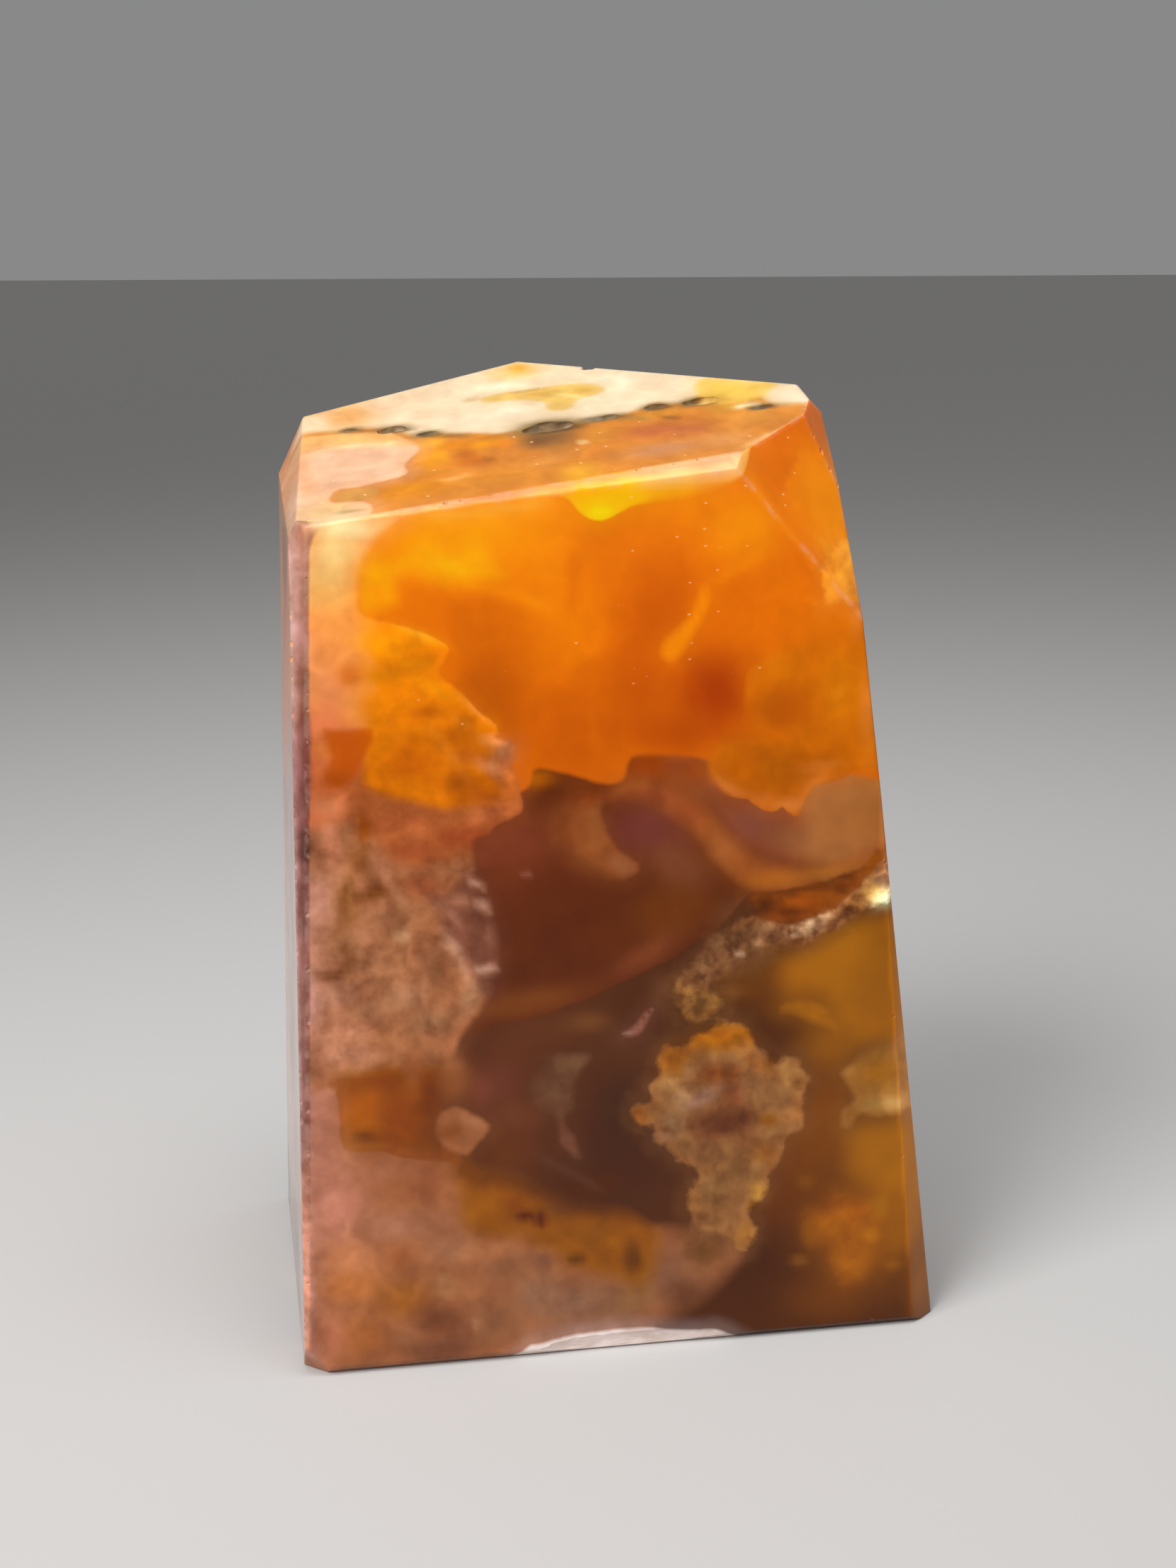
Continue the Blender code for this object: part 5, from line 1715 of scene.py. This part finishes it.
def grained(tree, place, tint, grain, folded, sugar):
    """A layer's tint with what grows inside it: clouds and veils, mottling, sugary crystals."""
    soft = ramp(tree, clouds(tree, place, 0.3, 2, 0.5), 0.3, 0.7, -0.1, 0.1)
    soft = calc(tree, "MULTIPLY", soft, calc(tree, "ADD", grain, 0.3))
    folded = calc(tree, "MULTIPLY_ADD", folded, 0.26, -0.06)
    mottles = ramp(tree, clouds(tree, place, 0.5, 4, 0.5), 0.32, 0.68, -0.18, 0.18)
    mottles = calc(tree, "MULTIPLY_ADD", sugar, grain, mottles)
    inside = calc(tree, "MULTIPLY", calc(tree, "ADD", folded, mottles), grain)
    return lit_by(tree, tint, calc(tree, "ADD", calc(tree, "ADD", soft, inside), 1.0))


print("the edges of", sum(len(marks) for marks in zones.values()), "marks will be frayed")

# %% Lay one layer over what is below it
def laid_over(tree, place, below, layer, wander, folded, sugar, rim, halo):
    """One layer over what is below it, with a paler skin inside its edge and a haze outside."""
    edge = add(tree, "SeparateXYZ", {0: stored(tree, "edge_%d" % layer, "Vector")}).outputs
    reach = stored(tree, "reach_%d" % layer, "Fac")
    reach = calc(tree, "MULTIPLY_ADD", wander, edge[1], reach)
    scaled = calc(tree, "DIVIDE", reach, calc(tree, "MAXIMUM", edge[0], 0.02))
    cover = ramp(tree, scaled, -1.0, 1.0)
    solid = ramp(tree, reach, 0.0, 1.8, 1 - 0.35 * rim, 1.0)
    haze = calc(tree, "MULTIPLY", ramp(tree, reach, -1.6, 0.1), halo)
    cover = calc(tree, "MAXIMUM", calc(tree, "MULTIPLY", cover, solid), haze)
    tint = grained(tree, place, stored(tree, "tint_%d" % layer, "Vector"), edge[2], folded,
                   sugar)
    skin = calc(tree, "MULTIPLY", ramp(tree, reach, -0.1, 0.35),
                ramp(tree, reach, 0.35, 1.1, 1, 0))
    crisp = ramp(tree, edge[0], 0.25, 0.8, rim, 0.0)
    skin = calc(tree, "MULTIPLY", skin, calc(tree, "MULTIPLY", edge[2], crisp))
    tint = mixed(tree, skin, tint, mixed(tree, 1.0, tint, (1.5, 1.42, 1.3, 1), "MULTIPLY"))
    return mixed(tree, cover, below, tint)


SPECK_TINT = (1, 0.6, 0.25, 1)


def specked(tree, place, colour):
    """Tiny bright pits in the polish: a few of many small cells hold one."""
    place = add(tree, "VectorMath", {0: place, 1: (1, 1, 1.8)}, operation="MULTIPLY").outputs[0]
    found = cells(tree, place, 0.9)
    picked = add(tree, "SeparateColor", {0: found["Color"]}).outputs[0]
    wanted = calc(tree, "MULTIPLY", stored(tree, "specks", "Fac"), 0.45)
    cover = calc(tree, "LESS_THAN", picked, wanted)
    cover = calc(tree, "MULTIPLY", cover, ramp(tree, found["Distance"], 0.05, 0.17, 0.6, 0.0))
    return mixed(tree, cover, colour, SPECK_TINT)


print("a layer's edge is kept as", len(stone.data.attributes["edge_1"].data), "values")

# %% Build both finishes
WORN_TINT = (0.7, 0.5, 0.4, 1)
AGATE_IOR = 1.54
QUIET_GLOSS = 0.2
LIGHT_REACH = (1.0, 0.5, 0.25)


def stone_finish(material, gloss, paleness, relief, depth):
    """Fills a material: how rough its polish is, how pale, how uneven and how translucent."""
    tree = material.node_tree
    shader = tree.nodes["Principled BSDF"]
    place = millimetres(tree)
    shift = clouds(tree, place, 0.35, 2, 0.5, "Color")
    half = (0.5, 0.5, 0.5)
    shift = add(tree, "VectorMath", {0: shift, 1: half}, operation="SUBTRACT").outputs[0]
    shift = add(tree, "VectorMath", {0: shift, 3: 1.7}, operation="SCALE").outputs[0]
    place = add(tree, "VectorMath", {0: place, 1: shift}, operation="ADD").outputs[0]
    wander = wandering(tree, place)
    folded = veils(tree, place)
    sugar = ramp(tree, clouds(tree, millimetres(tree), 1.1, 2, 0.5), 0.32, 0.68, -0.1, 0.11)
    veil = ramp(tree, clouds(tree, place, 0.13, 3, 0.5), 0.3, 0.7, 0.9, 1.12)
    colour = lit_by(tree, stored(tree, "body_tint", "Vector"), veil)
    for layer, rim, halo in ((GLASS, 0.1, 0.0), (GLOW, 0.0, 0.1), (PLUMES, 0.5, 0.2),
                             (DETAILS, 0.3, 0.12)):
        colour = laid_over(tree, place, colour, layer, wander, folded, sugar, rim, halo)
    colour = specked(tree, millimetres(tree), colour)
    worn = ramp(tree, stored(tree, "edge_distance", "Fac"), 0.05, 0.45, 0.16, 0.0)
    worn = calc(tree, "MULTIPLY", worn, ramp(tree, clouds(tree, place, 0.8, 4), 0.42, 0.6))
    colour = mixed(tree, calc(tree, "ADD", worn, paleness), colour, WORN_TINT)
    plug(tree, shader.inputs["Base Color"], colour)
    smudges = ramp(tree, clouds(tree, place, 0.12, 4), 0.35, 0.7, gloss, gloss + 0.06)
    plug(tree, shader.inputs["Roughness"], calc(tree, "MULTIPLY_ADD", worn, 0.8, smudges))
    shader.inputs["IOR"].default_value = AGATE_IOR
    shader.inputs["Specular IOR Level"].default_value = QUIET_GLOSS
    shader.inputs["Subsurface Weight"].default_value = depth
    shader.inputs["Subsurface Radius"].default_value = LIGHT_REACH
    shader.inputs["Subsurface Scale"].default_value = 1.4 * MM
    bumps = clouds(tree, place, 1.8, 5, 0.6)
    bump = add(tree, "Bump", {"Strength": relief, "Distance": 0.1 * MM, "Height": bumps})
    plug(tree, shader.inputs["Normal"], bump.outputs[0])


stone_finish(polished, 0.07, 0.0, 0.03, 0.3)
stone_finish(broken, 0.42, 0.08, 0.7, 0.05)
print("the finish has", len(polished.node_tree.nodes), "nodes")

# %% [markdown]
# ## Camera and light
# The camera stands where the photograph was taken from, found by matching the stone's corners.
# The light is a large soft window from the upper left and a smaller one overhead, under a pale
# sky, and the stone stands on a plain pale floor that sends light back up.

# %% The camera
CAMERA_PLACE = (-0.03110, -0.17390, 0.09038)
LOOKING = (0.166, 0.9515, -0.2588)
FILM_HEIGHT = 36
LENS = 48.82
camera = bpy.data.objects.new("camera", bpy.data.cameras.new("camera"))
bpy.context.scene.collection.objects.link(camera)
camera.location = CAMERA_PLACE
camera.rotation_euler = Vector(LOOKING).to_track_quat("-Z", "Y").to_euler()
camera.data.sensor_fit = "VERTICAL"
camera.data.sensor_height = FILM_HEIGHT
camera.data.lens = LENS
camera.data.clip_start = 0.01
bpy.context.scene.camera = camera
print("the lens is", LENS, "mm long, on a frame", FILM_HEIGHT, "mm high")

# %% The lights and the sky
def soft_light(name, place, aim, size, power, spread):
    """A flat lamp, aimed at a point, whose light spreads by some degrees."""
    lamp = bpy.data.lights.new(name, "AREA")
    lamp.spread = radians(spread)
    lamp.shape = "RECTANGLE"
    lamp.size, lamp.size_y = size
    lamp.energy = power
    holder = bpy.data.objects.new(name, lamp)
    bpy.context.scene.collection.objects.link(holder)
    holder.location = place
    holder.rotation_euler = (Vector(aim) - Vector(place)).to_track_quat("-Z", "Y").to_euler()


soft_light("window", (-0.28, -0.24, 0.36), (0, 0, 0.04), (0.26, 0.26), 0.45, 75)
soft_light("overhead window", (0.02, -0.10, 0.50), (0, 0, 0.06), (0.34, 0.22), 0.24, 80)
sky = bpy.data.worlds.new("studio")
sky.use_nodes = True
sky.node_tree.nodes["Background"].inputs["Color"].default_value = (1, 1, 1, 1)
sky.node_tree.nodes["Background"].inputs["Strength"].default_value = 0.25
bpy.context.scene.world = sky
bpy.context.scene.view_settings.view_transform = "Standard"
print("lamps:", [lamp.name for lamp in bpy.data.lights])

# %% The floor
PALE = (0.56, 0.55, 0.54, 1)
bpy.ops.mesh.primitive_plane_add(size=6, location=(0, 0, 0))
floor = bpy.context.active_object
floor.name = "floor"
paper = bpy.data.materials.new("pale_paper")
paper.use_nodes = True
paper_shader = paper.node_tree.nodes["Principled BSDF"]
paper_shader.inputs["Base Color"].default_value = PALE
paper_shader.inputs["Roughness"].default_value = 0.9
floor.data.materials.append(paper)
print("the floor is", round(floor.dimensions.x), "m wide")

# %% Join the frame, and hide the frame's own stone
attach(stone, "root")
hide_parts("flower_agate")
